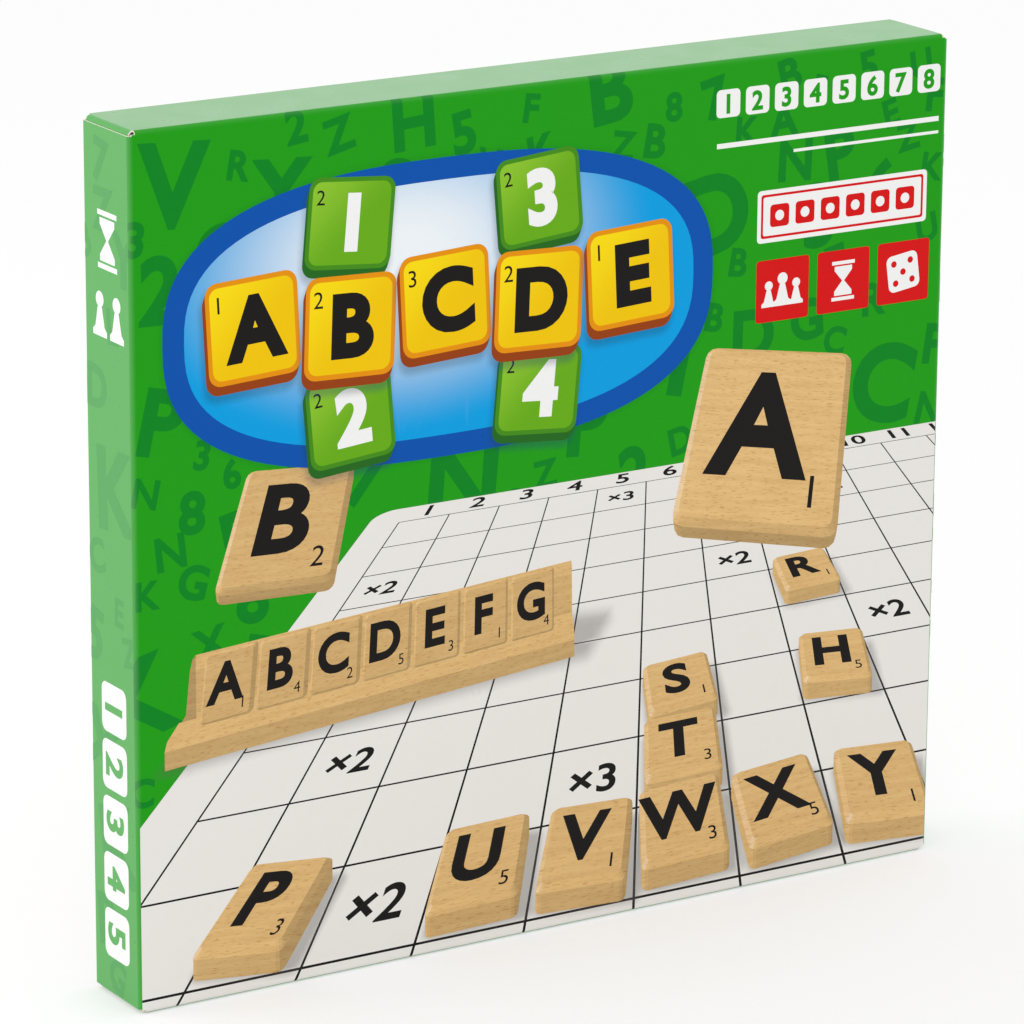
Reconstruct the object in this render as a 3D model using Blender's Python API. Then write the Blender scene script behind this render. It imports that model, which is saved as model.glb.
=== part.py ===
"""A boxed word game, standing upright with its lid towards -Y.

Metres, +Z up, +X along the long side of the box. The origin is the middle of the face that the box
stands on. From front (-Y) to back (+Y) the pieces are: the lid, the playing board, the rules leaflet,
the formed insert with the racks and letter tiles in its pockets, and the tray. Every size that can be
chosen is named below. The box takes its own size from what lies in it.
"""

from itertools import product
from math import pi

import bmesh
import bpy
from mathutils import Matrix, Vector

# Running gaps
SEAT_GAP = 0.0003
CONTENT_CLEARANCE = 0.0004
NEST_CLEARANCE = 0.0004
POCKET_CLEARANCE = 0.0008

# Folded cartons, of solid board
CARTON_THICKNESS = 0.0007
FOLD_RADIUS = 0.00105
EAR_RADIUS = 0.0016
ROLL_CLEARANCE = 0.00015
EAR_LENGTH = 0.045
EAR_INSET = 0.0003
EAR_TAPER = 0.003
FOLD_STEPS = 3
ROLL_STEPS = 6

# Playing board
SQUARE_WIDTH = 0.022
SQUARE_HEIGHT = 0.021
SQUARES_ACROSS = 15
SQUARES_DOWN = 15
BOARD_SIDE_MARGIN = 0.0119
BOARD_END_MARGIN = 0.0103
BOARD_THICKNESS = 0.002
BOARD_CORNER_RADIUS = 0.012
BOARD_EDGE_EASE = 0.0003
CORNER_STEPS = 5

# Rules leaflet, one sheet folded once
LEAFLET_WIDTH = 0.148
LEAFLET_HEIGHT = 0.210
LEAFLET_PAPER = 0.0002
LEAFLET_FOLD_RADIUS = 0.00025

# Letter tiles, of beech
TILE_WIDTH = 0.019
TILE_HEIGHT = 0.021
TILE_THICKNESS = 0.0045
TILE_CORNER_RADIUS = 0.0012
TILE_CHAMFER = 0.0007
TILE_GAP = 0.0003
TILE_COLUMNS = 8
TILE_ROWS = 6
TILE_CORNER_STEPS = 1

# Tile racks, of beech: one length of moulding each
RACK_LENGTH = 0.160
RACK_LEDGE_FACE = 0.0065
RACK_LEDGE_BEVEL = 0.002
RACK_LEDGE_DEPTH = 0.0135
RACK_GROOVE_WIDTH = 0.005
RACK_GROOVE_DROP = 0.0012
RACK_BACK_RISE = 0.0135
RACK_LEAN = 0.004
RACK_TOP_CHAMFER = 0.0025
RACK_TOP_FLAT = 0.003
RACK_EDGE_EASE = 0.0004
RACK_COLUMNS = 2
RACK_ROWS = 2

# Formed insert, pressed from thin plastic sheet
INSERT_SHEET = 0.0005
DRAFT_SHARE = 0.07
CORNER_ROOM_SHARE = 2.6
RACK_HEADROOM = 0.0079
TILE_HEADROOM = 0.0007
INSERT_EDGE_LAND = 0.018
RACK_DIVIDER_LAND = 0.006
BAY_LAND = 0.020
FINGER_WIDTH = 0.026
FINGER_REACH = 0.010
BAY_FINGER_WIDTH = 0.044
BAY_FINGER_REACH = 0.014
RIB_WIDTH = 0.008
RIB_LENGTH = 0.090
RIB_DEPTH = 0.005
RIB_PITCH = 0.028
POCKET_CORNER_RADIUS = 0.002
INSERT_EDGE_RADIUS = 0.001
POCKET_CORNER_STEPS = 2
INSERT_EDGE_STEPS = 1

# Angles that tell a real edge from a seam in a flat face, and the profile of a round corner
EDGE_ANGLE = pi / 6
FLAT_ANGLE = pi / 180
ROUND_PROFILE_SHARE = 0.5

ROLL_RADIUS = CARTON_THICKNESS + ROLL_CLEARANCE
ROLLED_WALL = 2 * ROLL_RADIUS + CARTON_THICKNESS

RULED_WIDTH = SQUARES_ACROSS * SQUARE_WIDTH + 2 * BOARD_SIDE_MARGIN
RULED_HEIGHT = SQUARES_DOWN * SQUARE_HEIGHT + 2 * BOARD_END_MARGIN

LEAFLET_THICKNESS = 2 * LEAFLET_FOLD_RADIUS + LEAFLET_PAPER

RACK_LEDGE_TOP = RACK_LEDGE_FACE + RACK_LEDGE_BEVEL
RACK_HEIGHT = RACK_LEDGE_TOP + RACK_BACK_RISE
RACK_DEPTH = RACK_LEDGE_DEPTH + RACK_GROOVE_WIDTH + RACK_LEAN + RACK_TOP_CHAMFER + RACK_TOP_FLAT

TILE_BLOCK_WIDTH = TILE_COLUMNS * (TILE_WIDTH + TILE_GAP) - TILE_GAP
TILE_BLOCK_HEIGHT = TILE_ROWS * (TILE_HEIGHT + TILE_GAP) - TILE_GAP

# Pocket depths, from the insert's front to the pocket's floor, and how far each wall leans out
RACK_POCKET_DEPTH = SEAT_GAP + RACK_HEIGHT + RACK_HEADROOM
BAY_DEPTH = 2 * (SEAT_GAP + TILE_THICKNESS) + TILE_HEADROOM
RACK_POCKET_DRAFT = DRAFT_SHARE * RACK_POCKET_DEPTH
BAY_DRAFT = DRAFT_SHARE * BAY_DEPTH
RIB_DRAFT = DRAFT_SHARE * RIB_DEPTH

# Pocket mouths
RACK_MOUTH_WIDTH = RACK_LENGTH + 2 * (POCKET_CLEARANCE + RACK_POCKET_DRAFT)
RACK_MOUTH_HEIGHT = RACK_DEPTH + 2 * (POCKET_CLEARANCE + RACK_POCKET_DRAFT)
BAY_MOUTH_WIDTH = TILE_BLOCK_WIDTH + 2 * (POCKET_CLEARANCE + BAY_DRAFT)
BAY_MOUTH_HEIGHT = TILE_BLOCK_HEIGHT + 2 * (POCKET_CLEARANCE + BAY_DRAFT)

# What the insert needs for its pockets, and so the board and the insert, which fill the tray
RACK_ROW_WIDTH = RACK_COLUMNS * (RACK_MOUTH_WIDTH + RACK_DIVIDER_LAND) + RACK_DIVIDER_LAND
BAY_ROW_WIDTH = BAY_MOUTH_WIDTH + 2 * (BAY_FINGER_REACH + 2 * RIB_PITCH + RIB_WIDTH)
INSERT_STACK_HEIGHT = (
    RACK_ROWS * (RACK_MOUTH_HEIGHT + FINGER_REACH + INSERT_EDGE_LAND) + BAY_MOUTH_HEIGHT + 2 * BAY_LAND
)
CONTENT_WIDTH = max(RULED_WIDTH, RACK_ROW_WIDTH, BAY_ROW_WIDTH, LEAFLET_WIDTH)
CONTENT_HEIGHT = max(RULED_HEIGHT, INSERT_STACK_HEIGHT, LEAFLET_HEIGHT)
INSIDE_WIDTH = CONTENT_WIDTH + 2 * CONTENT_CLEARANCE
INSIDE_HEIGHT = CONTENT_HEIGHT + 2 * CONTENT_CLEARANCE

TRAY_WIDTH = INSIDE_WIDTH + 2 * ROLLED_WALL
TRAY_HEIGHT = INSIDE_HEIGHT + 2 * CARTON_THICKNESS
LID_WIDTH = TRAY_WIDTH + 2 * (NEST_CLEARANCE + ROLLED_WALL)
LID_HEIGHT = TRAY_HEIGHT + 2 * (NEST_CLEARANCE + CARTON_THICKNESS)

# The stack from front to back
INSERT_DEPTH = RACK_POCKET_DEPTH + INSERT_SHEET
TRAY_DEPTH = (
    BOARD_THICKNESS + LEAFLET_THICKNESS + INSERT_DEPTH + 3 * SEAT_GAP + CARTON_THICKNESS
)
BOX_DEPTH = CARTON_THICKNESS + SEAT_GAP + TRAY_DEPTH
LID_DEPTH = BOX_DEPTH - SEAT_GAP

FRONT_Y = -BOX_DEPTH / 2
BACK_Y = BOX_DEPTH / 2
BOARD_FRONT_Y = FRONT_Y + CARTON_THICKNESS + 2 * SEAT_GAP
LEAFLET_FRONT_Y = BOARD_FRONT_Y + BOARD_THICKNESS + SEAT_GAP
INSERT_FRONT_Y = BACK_Y - CARTON_THICKNESS - SEAT_GAP - INSERT_DEPTH
RACK_BASE_Y = INSERT_FRONT_Y + RACK_POCKET_DEPTH - SEAT_GAP
BACK_TILE_Y = INSERT_FRONT_Y + BAY_DEPTH - SEAT_GAP - TILE_THICKNESS / 2
FRONT_TILE_Y = BACK_TILE_Y - TILE_THICKNESS - SEAT_GAP

MIDDLE_Z = LID_HEIGHT / 2

# Where the pockets lie on the insert, from its middle
RACK_COLUMN_PITCH = RACK_MOUTH_WIDTH + RACK_DIVIDER_LAND
RACK_ROW_REACH = CONTENT_HEIGHT / 2 - INSERT_EDGE_LAND - RACK_MOUTH_HEIGHT / 2
RIB_MIDDLE_X = (BAY_MOUTH_WIDTH / 2 + BAY_FINGER_REACH + CONTENT_WIDTH / 2) / 2

GREEN_PRINT = (0.026, 0.327, 0.017, 1)
GREY_BOARD = (0.60, 0.57, 0.52, 1)
CLEAR_GREY = (0.78, 0.80, 0.80, 1)
OFF_WHITE = (0.75, 0.72, 0.69, 1)
PAPER_WHITE = (0.82, 0.81, 0.78, 1)
BEECH = (0.73, 0.45, 0.20, 1)


def clear_scene():
    for old in list(bpy.data.objects):
        bpy.data.objects.remove(old)


def finish_of(name, colour, roughness):
    material = bpy.data.materials.new(name)
    material.use_nodes = True
    shader = material.node_tree.nodes["Principled BSDF"]
    shader.inputs["Base Color"].default_value = colour
    shader.inputs["Roughness"].default_value = roughness
    shader.inputs["Metallic"].default_value = 0
    return material


def mesh_of(name, bm, material):
    mesh = bpy.data.meshes.new(name)
    bm.to_mesh(mesh)
    bm.free()
    mesh.materials.append(material)
    mesh.shade_smooth()
    mesh.set_sharp_from_angle(angle=EDGE_ANGLE)
    return mesh


def carrier(name, place):
    """An empty on the line that a body slides along."""
    empty = bpy.data.objects.new(name, None)
    empty.location = place
    bpy.context.scene.collection.objects.link(empty)
    return empty


def put(name, mesh, holder, place):
    piece = bpy.data.objects.new(name, mesh)
    piece.parent = holder
    piece.location = Vector(place) - holder.location
    bpy.context.scene.collection.objects.link(piece)
    return piece


def verts_of(geometry):
    return [part for part in geometry if isinstance(part, bmesh.types.BMVert)]


def edges_of(geometry):
    return [part for part in geometry if isinstance(part, bmesh.types.BMEdge)]


def fold(bm, edges, centre, axis, angle, steps):
    """Turns the edges of a sheet about an axis, as a crease does, and returns the edges at its end."""
    corners = list({vert for edge in edges for vert in edge.verts})
    turned = bmesh.ops.spin(
        bm, geom=corners + edges, cent=centre, axis=axis, angle=angle, steps=steps, use_duplicate=False
    )
    return edges_of(turned["geom_last"])


def run_on(bm, edges, move):
    """Carries the edges of a sheet straight on, and returns the edges at its end."""
    made = bmesh.ops.extrude_edge_only(bm, edges=edges)["geom"]
    ends = verts_of(made)
    bmesh.ops.translate(bm, verts=ends, vec=move)
    return [edge for edge in edges_of(made) if all(vert in ends for vert in edge.verts)]


def panel(bm, across, up):
    """A flat sheet at y = 0 on the lines across (x) and up (z), and its vertices by line numbers."""
    places = product(enumerate(across), enumerate(up))
    corners = {(column, row): bm.verts.new((x, 0, z)) for (column, x), (row, z) in places}
    for column, row in product(range(len(across) - 1), range(len(up) - 1)):
        bm.faces.new(
            (
                corners[column, row],
                corners[column + 1, row],
                corners[column + 1, row + 1],
                corners[column, row + 1],
            )
        )
    return corners


def folded_carton(name, width, height, depth, material):
    """A half box folded from one blank of board, its panel's outer face at y = 0 and its walls along +Y.

    The left and right walls are rolled over into double walls. The top and bottom walls are single,
    and end in ears that turn the corner and lie between the two layers of the rolls.
    """
    wall_x = width / 2 - CARTON_THICKNESS / 2
    wall_z = height / 2 - CARTON_THICKNESS / 2
    ear_x = wall_x - ROLL_RADIUS
    panel_x = wall_x - FOLD_RADIUS
    panel_z = wall_z - FOLD_RADIUS
    end_wall_x = ear_x - EAR_RADIUS
    side_wall_z = wall_z - EAR_RADIUS
    roll_y = depth - CARTON_THICKNESS - ROLL_RADIUS
    rim_y = depth - CARTON_THICKNESS / 2
    bm = bmesh.new()
    corners = panel(
        bm,
        (-panel_x, -end_wall_x, end_wall_x, panel_x),
        (-panel_z, -side_wall_z, side_wall_z, panel_z),
    )
    for side, column in ((-1, 0), (1, 3)):
        rolled_wall(bm, corners[column, 1], corners[column, 2], side, wall_x, panel_x, roll_y)
    for side, row in ((-1, 0), (1, 3)):
        eared_wall(bm, corners[1, row], corners[2, row], side, wall_z, end_wall_x, roll_y, rim_y)
    bmesh.ops.recalc_face_normals(bm, faces=bm.faces)
    bmesh.ops.translate(bm, verts=bm.verts, vec=(0, CARTON_THICKNESS / 2, 0))
    return mesh_of(name, bm, material)


def rolled_wall(bm, low, high, side, wall_x, panel_x, roll_y):
    """A side wall: up from the panel, over in a half turn at the rim, and down again inside."""
    edge = [bm.edges.get((low, high))]
    edge = fold(bm, edge, (side * panel_x, FOLD_RADIUS, 0), (0, 0, side), pi / 2, FOLD_STEPS)
    edge = run_on(bm, edge, (0, roll_y - FOLD_RADIUS, 0))
    edge = fold(bm, edge, (side * (wall_x - ROLL_RADIUS), roll_y, 0), (0, 0, side), pi, ROLL_STEPS)
    run_on(bm, edge, (0, CARTON_THICKNESS / 2 + SEAT_GAP - roll_y, 0))


def eared_wall(bm, left, right, side, wall_z, end_wall_x, roll_y, rim_y):
    """An end wall, up from the panel to a raw rim, with an ear folded in at each of its ends."""
    edge = [bm.edges.get((left, right))]
    edge = fold(bm, edge, (0, FOLD_RADIUS, side * (wall_z - FOLD_RADIUS)), (-side, 0, 0), pi / 2, FOLD_STEPS)
    ear_low_y = FOLD_RADIUS + EAR_INSET
    ear_high_y = roll_y - SEAT_GAP
    edge = run_on(bm, edge, (0, ear_low_y - FOLD_RADIUS, 0))
    ear_foot = edge[0].verts[:]
    edge = run_on(bm, edge, (0, ear_high_y - ear_low_y, 0))
    ear_head = edge[0].verts[:]
    run_on(bm, edge, (0, rim_y - ear_high_y, 0))
    for end in (-1, 1):
        foot = max(ear_foot, key=lambda vert: end * vert.co.x)
        head = max(ear_head, key=lambda vert: end * vert.co.x)
        root = [bm.edges.get((foot, head))]
        centre = (end * end_wall_x, 0, side * (wall_z - EAR_RADIUS))
        tip = fold(bm, root, centre, (0, end * side, 0), pi / 2, FOLD_STEPS)
        tip = run_on(bm, tip, (0, 0, -side * EAR_LENGTH))
        for vert in tip[0].verts:
            inward = 1 if vert.co.y < (ear_low_y + ear_high_y) / 2 else -1
            vert.co.y += inward * EAR_TAPER


def board_up(piece, thickness, offset):
    """Gives a sheet its thickness."""
    solid = piece.modifiers.new("Sheet thickness", "SOLIDIFY")
    solid.thickness = thickness
    solid.offset = offset
    solid.use_even_offset = True


def eased(piece, width, steps):
    """Rounds a piece's real edges, and leaves the seams in its flat faces."""
    bevel = piece.modifiers.new("Eased edges", "BEVEL")
    bevel.width = width
    bevel.segments = steps
    bevel.limit_method = "ANGLE"
    bevel.angle_limit = EDGE_ANGLE


def round_off(bm, edges, radius, steps):
    bmesh.ops.bevel(
        bm,
        geom=edges,
        offset=radius,
        segments=steps,
        profile=ROUND_PROFILE_SHARE,
        affect="EDGES",
        clamp_overlap=True,
    )


def block(bm, width, thickness, height):
    """A box about the origin, width along x, thickness along y and height along z."""
    size = Matrix.Diagonal((width, thickness, height, 1))
    return bmesh.ops.create_cube(bm, size=1, matrix=size)["verts"]


def along_y(edge):
    start, end = (vert.co for vert in edge.verts)
    return start.xz == end.xz


def game_board_mesh(material):
    bm = bmesh.new()
    block(bm, CONTENT_WIDTH, BOARD_THICKNESS, CONTENT_HEIGHT)
    corners = [edge for edge in bm.edges if along_y(edge)]
    round_off(bm, corners, BOARD_CORNER_RADIUS, CORNER_STEPS)
    return mesh_of("game_board", bm, material)


def leaflet_mesh(material):
    """One sheet folded once along its left edge, its two leaves a fold apart."""
    bm = bmesh.new()
    left = -LEAFLET_WIDTH / 2 + LEAFLET_FOLD_RADIUS + LEAFLET_PAPER / 2
    right = LEAFLET_WIDTH / 2
    corners = panel(bm, (left, right), (-LEAFLET_HEIGHT / 2, LEAFLET_HEIGHT / 2))
    spine = [bm.edges.get((corners[0, 0], corners[0, 1]))]
    spine = fold(bm, spine, (left, LEAFLET_FOLD_RADIUS, 0), (0, 0, -1), pi, ROLL_STEPS)
    run_on(bm, spine, (right - left, 0, 0))
    bmesh.ops.recalc_face_normals(bm, faces=bm.faces)
    bmesh.ops.translate(bm, verts=bm.verts, vec=(0, LEAFLET_PAPER / 2, 0))
    return mesh_of("rules_leaflet", bm, material)


def chamfer_faces(bm, faces):
    """Raises each face of a tile's front and back on a chamfer of its own."""
    bmesh.ops.inset_individual(bm, faces=faces, thickness=TILE_CHAMFER, depth=TILE_CHAMFER)


def front_and_back(bm):
    return [face for face in bm.faces if abs(face.normal.y) > abs(face.normal.x) + abs(face.normal.z)]


def tile_mesh(material):
    bm = bmesh.new()
    block(bm, TILE_WIDTH, TILE_THICKNESS - 2 * TILE_CHAMFER, TILE_HEIGHT)
    corners = [edge for edge in bm.edges if along_y(edge)]
    round_off(bm, corners, TILE_CORNER_RADIUS, TILE_CORNER_STEPS)
    bm.normal_update()
    chamfer_faces(bm, front_and_back(bm))
    return mesh_of("letter_tile", bm, material)


def back_tiles_mesh(material):
    """The layer behind, as one piece: tiles side by side, each with its own chamfers."""
    bm = bmesh.new()
    pitch_x = TILE_BLOCK_WIDTH / TILE_COLUMNS
    pitch_z = TILE_BLOCK_HEIGHT / TILE_ROWS
    across = [column * pitch_x - TILE_BLOCK_WIDTH / 2 for column in range(TILE_COLUMNS + 1)]
    up = [row * pitch_z - TILE_BLOCK_HEIGHT / 2 for row in range(TILE_ROWS + 1)]
    panel(bm, across, up)
    slab = bmesh.ops.extrude_face_region(bm, geom=bm.faces[:])["geom"]
    core = TILE_THICKNESS - 2 * TILE_CHAMFER
    bmesh.ops.translate(bm, verts=verts_of(slab), vec=(0, core, 0))
    bmesh.ops.translate(bm, verts=bm.verts, vec=(0, -core / 2, 0))
    bmesh.ops.recalc_face_normals(bm, faces=bm.faces)
    chamfer_faces(bm, front_and_back(bm))
    return mesh_of("back_tiles", bm, material)


def rack_outline():
    """The moulding's end, as (z, y) points: its base at y = 0, its ledge towards -Z, its top towards -Y."""
    groove_top = RACK_LEDGE_TOP - RACK_GROOVE_DROP
    groove_back = RACK_LEDGE_DEPTH + RACK_GROOVE_WIDTH
    lean_top = groove_back + RACK_LEAN
    across_and_up = (
        (0, 0),
        (0, RACK_LEDGE_FACE),
        (RACK_LEDGE_BEVEL, RACK_LEDGE_TOP),
        (RACK_LEDGE_DEPTH - RACK_GROOVE_DROP, RACK_LEDGE_TOP),
        (RACK_LEDGE_DEPTH, groove_top),
        (groove_back, groove_top),
        (lean_top, RACK_HEIGHT - RACK_TOP_CHAMFER),
        (lean_top + RACK_TOP_CHAMFER, RACK_HEIGHT),
        (RACK_DEPTH, RACK_HEIGHT),
        (RACK_DEPTH, 0),
    )
    return [(across - RACK_DEPTH / 2, -up) for across, up in across_and_up]


def rack_mesh(material):
    bm = bmesh.new()
    outline = [bm.verts.new((-RACK_LENGTH / 2, y, z)) for z, y in rack_outline()]
    end = bm.faces.new(outline)
    length = bmesh.ops.extrude_face_region(bm, geom=[end])["geom"]
    bmesh.ops.translate(bm, verts=verts_of(length), vec=(RACK_LENGTH, 0, 0))
    bmesh.ops.recalc_face_normals(bm, faces=bm.faces)
    return mesh_of("tile_rack", bm, material)


def rectangle(middle_x, middle_z, width, height):
    return (middle_x - width / 2, middle_x + width / 2, middle_z - height / 2, middle_z + height / 2)


def rack_middles():
    """The middles of the rack pockets on the insert, the upper row first."""
    columns = [(column - (RACK_COLUMNS - 1) / 2) * RACK_COLUMN_PITCH for column in range(RACK_COLUMNS)]
    return [(x, side * RACK_ROW_REACH, side) for side, x in product((1, -1), columns)]


def insert_pockets():
    """Each pocket as (its mouth's rectangles, depth, draft), with the finger wells as part of the mouth."""
    pockets = []
    for x, z, _ in rack_middles():
        mouth = [
            rectangle(x, z, RACK_MOUTH_WIDTH, RACK_MOUTH_HEIGHT),
            rectangle(x, z, FINGER_WIDTH, RACK_MOUTH_HEIGHT + 2 * FINGER_REACH),
        ]
        pockets.append((mouth, RACK_POCKET_DEPTH, RACK_POCKET_DRAFT))
    bay = [
        rectangle(0, 0, BAY_MOUTH_WIDTH, BAY_MOUTH_HEIGHT),
        rectangle(0, 0, BAY_MOUTH_WIDTH + 2 * BAY_FINGER_REACH, BAY_FINGER_WIDTH),
    ]
    pockets.append((bay, BAY_DEPTH, BAY_DRAFT))
    for side, step in product((-1, 1), (-RIB_PITCH / 2, RIB_PITCH / 2)):
        rib = [rectangle(side * RIB_MIDDLE_X + step, 0, RIB_WIDTH, RIB_LENGTH)]
        pockets.append((rib, RIB_DEPTH, RIB_DRAFT))
    return pockets


def lines_of(values):
    """The values in order, each once."""
    kept = []
    for value in sorted(values):
        if not kept or value - kept[-1] > SEAT_GAP:
            kept.append(value)
    return kept


def inside(point, rectangles):
    return any(left < point.x < right and low < point.z < high for left, right, low, high in rectangles)


def press(bm, mouth, depth, draft):
    """Presses the part of a flat sheet that lies in the mouth back by the depth, on leaning walls."""
    floor = [face for face in bm.faces if inside(face.calc_center_median(), mouth)]
    bmesh.ops.inset_region(bm, faces=floor, thickness=draft, use_even_offset=True)
    bmesh.ops.translate(bm, verts=list({vert for face in floor for vert in face.verts}), vec=(0, depth, 0))
    return floor


def wall_corners(bm):
    """The edges that run down between two leaning walls."""
    walls = {face for face in bm.faces if abs(face.normal.y) < abs(face.normal.x) + abs(face.normal.z)}
    return [
        edge
        for edge in bm.edges
        if len(edge.link_faces) == 2
        and walls.issuperset(edge.link_faces)
        and edge.calc_face_angle() > EDGE_ANGLE
    ]


def insert_mesh(material):
    """The formed sheet: a flat front with pressed pockets, and a skirt round it that reaches the tray."""
    skirt_draft = DRAFT_SHARE * INSERT_DEPTH
    front_x = CONTENT_WIDTH / 2 - skirt_draft
    front_z = CONTENT_HEIGHT / 2 - skirt_draft
    pockets = insert_pockets()
    rectangles = [area for mouth, _, _ in pockets for area in mouth]
    across = lines_of([-front_x, front_x] + [x for left, right, _, _ in rectangles for x in (left, right)])
    up = lines_of([-front_z, front_z] + [z for _, _, low, high in rectangles for z in (low, high)])
    bm = bmesh.new()
    panel(bm, across, up)
    bm.normal_update()
    rim = [edge for edge in bm.edges if edge.is_boundary]
    for mouth, depth, draft in pockets:
        press(bm, mouth, depth, draft)
    foot = run_on(bm, rim, (0, INSERT_DEPTH, 0))
    for vert in {vert for edge in foot for vert in edge.verts}:
        vert.co.x *= CONTENT_WIDTH / 2 / front_x
        vert.co.z *= CONTENT_HEIGHT / 2 / front_z
    bmesh.ops.recalc_face_normals(bm, faces=bm.faces)
    if max(bm.faces, key=lambda face: face.calc_area()).normal.y > 0:
        bmesh.ops.reverse_faces(bm, faces=bm.faces)
    bmesh.ops.dissolve_limit(bm, angle_limit=FLAT_ANGLE, verts=bm.verts, edges=bm.edges)
    bm.normal_update()
    corner_radius = min(POCKET_CORNER_RADIUS, CORNER_ROOM_SHARE * POCKET_CLEARANCE)
    round_off(bm, wall_corners(bm), corner_radius, POCKET_CORNER_STEPS)
    return mesh_of("insert_tray", bm, material)


def make_box():
    lid_finish = finish_of("green print on board", GREEN_PRINT, 0.25)
    tray_finish = finish_of("plain grey board", GREY_BOARD, 0.8)
    lid_holder = carrier("lid_slide", (0, FRONT_Y, MIDDLE_Z))
    tray_holder = carrier("tray", (0, BACK_Y, MIDDLE_Z))
    lid = put(
        "lid_carton",
        folded_carton("lid_carton", LID_WIDTH, LID_HEIGHT, LID_DEPTH, lid_finish),
        lid_holder,
        (0, FRONT_Y, MIDDLE_Z),
    )
    tray = put(
        "tray_carton",
        folded_carton("tray_carton", TRAY_WIDTH, TRAY_HEIGHT, TRAY_DEPTH, tray_finish),
        tray_holder,
        (0, BACK_Y, MIDDLE_Z),
    )
    tray.rotation_euler.z = pi
    for carton in (lid, tray):
        board_up(carton, CARTON_THICKNESS, 0)
    insert_finish = finish_of("formed plastic sheet", CLEAR_GREY, 0.35)
    insert = put("insert_tray", insert_mesh(insert_finish), tray_holder, (0, INSERT_FRONT_Y, MIDDLE_Z))
    eased(insert, INSERT_EDGE_RADIUS, INSERT_EDGE_STEPS)
    board_up(insert, INSERT_SHEET, -1)


def make_board_and_leaflet():
    board_finish = finish_of("white print on board", OFF_WHITE, 0.45)
    board_place = (0, BOARD_FRONT_Y + BOARD_THICKNESS / 2, MIDDLE_Z)
    board_holder = carrier("board_slide", board_place)
    board = put("game_board", game_board_mesh(board_finish), board_holder, board_place)
    eased(board, BOARD_EDGE_EASE, 1)
    leaflet_finish = finish_of("leaflet paper", PAPER_WHITE, 0.7)
    leaflet_place = (0, LEAFLET_FRONT_Y, MIDDLE_Z)
    leaflet_holder = carrier("leaflet_slide", leaflet_place)
    leaflet = put("rules_leaflet", leaflet_mesh(leaflet_finish), leaflet_holder, leaflet_place)
    board_up(leaflet, LEAFLET_PAPER, 0)


def make_racks():
    mesh = rack_mesh(finish_of("beech racks", BEECH, 0.55))
    for number, (x, z, side) in enumerate(rack_middles(), start=1):
        place = (x, RACK_BASE_Y, MIDDLE_Z + z)
        holder = carrier(f"rack_{number}_slide", place)
        rack = put(f"rack_{number}", mesh, holder, place)
        rack.rotation_euler.y = 0 if side > 0 else pi
        eased(rack, RACK_EDGE_EASE, 1)


def make_tiles():
    wood = finish_of("beech tiles", BEECH, 0.5)
    mesh = tile_mesh(wood)
    pitch_x = TILE_WIDTH + TILE_GAP
    pitch_z = TILE_HEIGHT + TILE_GAP
    for row in range(TILE_ROWS):
        z = MIDDLE_Z + ((TILE_ROWS - 1) / 2 - row) * pitch_z
        holder = carrier(f"tile_row_{row + 1}_slide", (0, FRONT_TILE_Y, z))
        for column in range(TILE_COLUMNS):
            x = (column - (TILE_COLUMNS - 1) / 2) * pitch_x
            put(f"tile_{row + 1}_{column + 1}", mesh, holder, (x, FRONT_TILE_Y, z))
    place = (0, BACK_TILE_Y, MIDDLE_Z)
    put("back_tiles", back_tiles_mesh(wood), carrier("back_tiles_slide", place), place)


clear_scene()
make_box()
make_board_and_leaflet()
make_racks()
make_tiles()
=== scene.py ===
"""The looks of a boxed word game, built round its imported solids.

Metres, +Z up, the lid's printed panel towards -Y. A print is laid out in millimetres, across and up
from the lower left corner of its face, as shapes that are painted one over another. They are then cut
into one sheet with no overlaps, which carries its ink as a colour attribute.
"""

import random
from itertools import product
from math import ceil, copysign, cos, hypot, pi, radians, sin, tau

import bmesh
import bpy
import numpy as np
from mathutils import Euler, Matrix, Vector
from mathutils.geometry import convex_hull_2d, delaunay_2d_cdt


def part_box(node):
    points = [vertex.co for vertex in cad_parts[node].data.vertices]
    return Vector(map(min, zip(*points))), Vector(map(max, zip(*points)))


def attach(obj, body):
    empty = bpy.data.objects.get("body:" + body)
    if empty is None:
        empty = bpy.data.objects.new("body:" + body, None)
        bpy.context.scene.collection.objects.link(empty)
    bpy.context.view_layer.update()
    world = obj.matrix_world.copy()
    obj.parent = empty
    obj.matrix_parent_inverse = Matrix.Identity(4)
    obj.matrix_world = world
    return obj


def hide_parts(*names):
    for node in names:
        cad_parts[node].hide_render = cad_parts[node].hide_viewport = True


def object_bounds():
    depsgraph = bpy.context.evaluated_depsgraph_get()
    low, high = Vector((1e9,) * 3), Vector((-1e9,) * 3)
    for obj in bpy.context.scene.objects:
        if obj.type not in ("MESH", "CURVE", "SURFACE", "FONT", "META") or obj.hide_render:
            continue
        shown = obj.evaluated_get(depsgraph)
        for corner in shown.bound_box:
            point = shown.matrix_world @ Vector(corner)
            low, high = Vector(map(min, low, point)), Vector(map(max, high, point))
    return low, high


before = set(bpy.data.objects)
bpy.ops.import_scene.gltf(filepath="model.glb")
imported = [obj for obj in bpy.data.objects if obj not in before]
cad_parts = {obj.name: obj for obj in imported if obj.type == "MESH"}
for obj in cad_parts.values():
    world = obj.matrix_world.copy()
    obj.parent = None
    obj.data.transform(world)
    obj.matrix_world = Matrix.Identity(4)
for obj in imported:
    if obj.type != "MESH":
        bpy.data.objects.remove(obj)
CAD_BOX = [list(corner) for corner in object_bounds()]

MM = 0.001
SEED = 11
CLOSE = 1e-5

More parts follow.
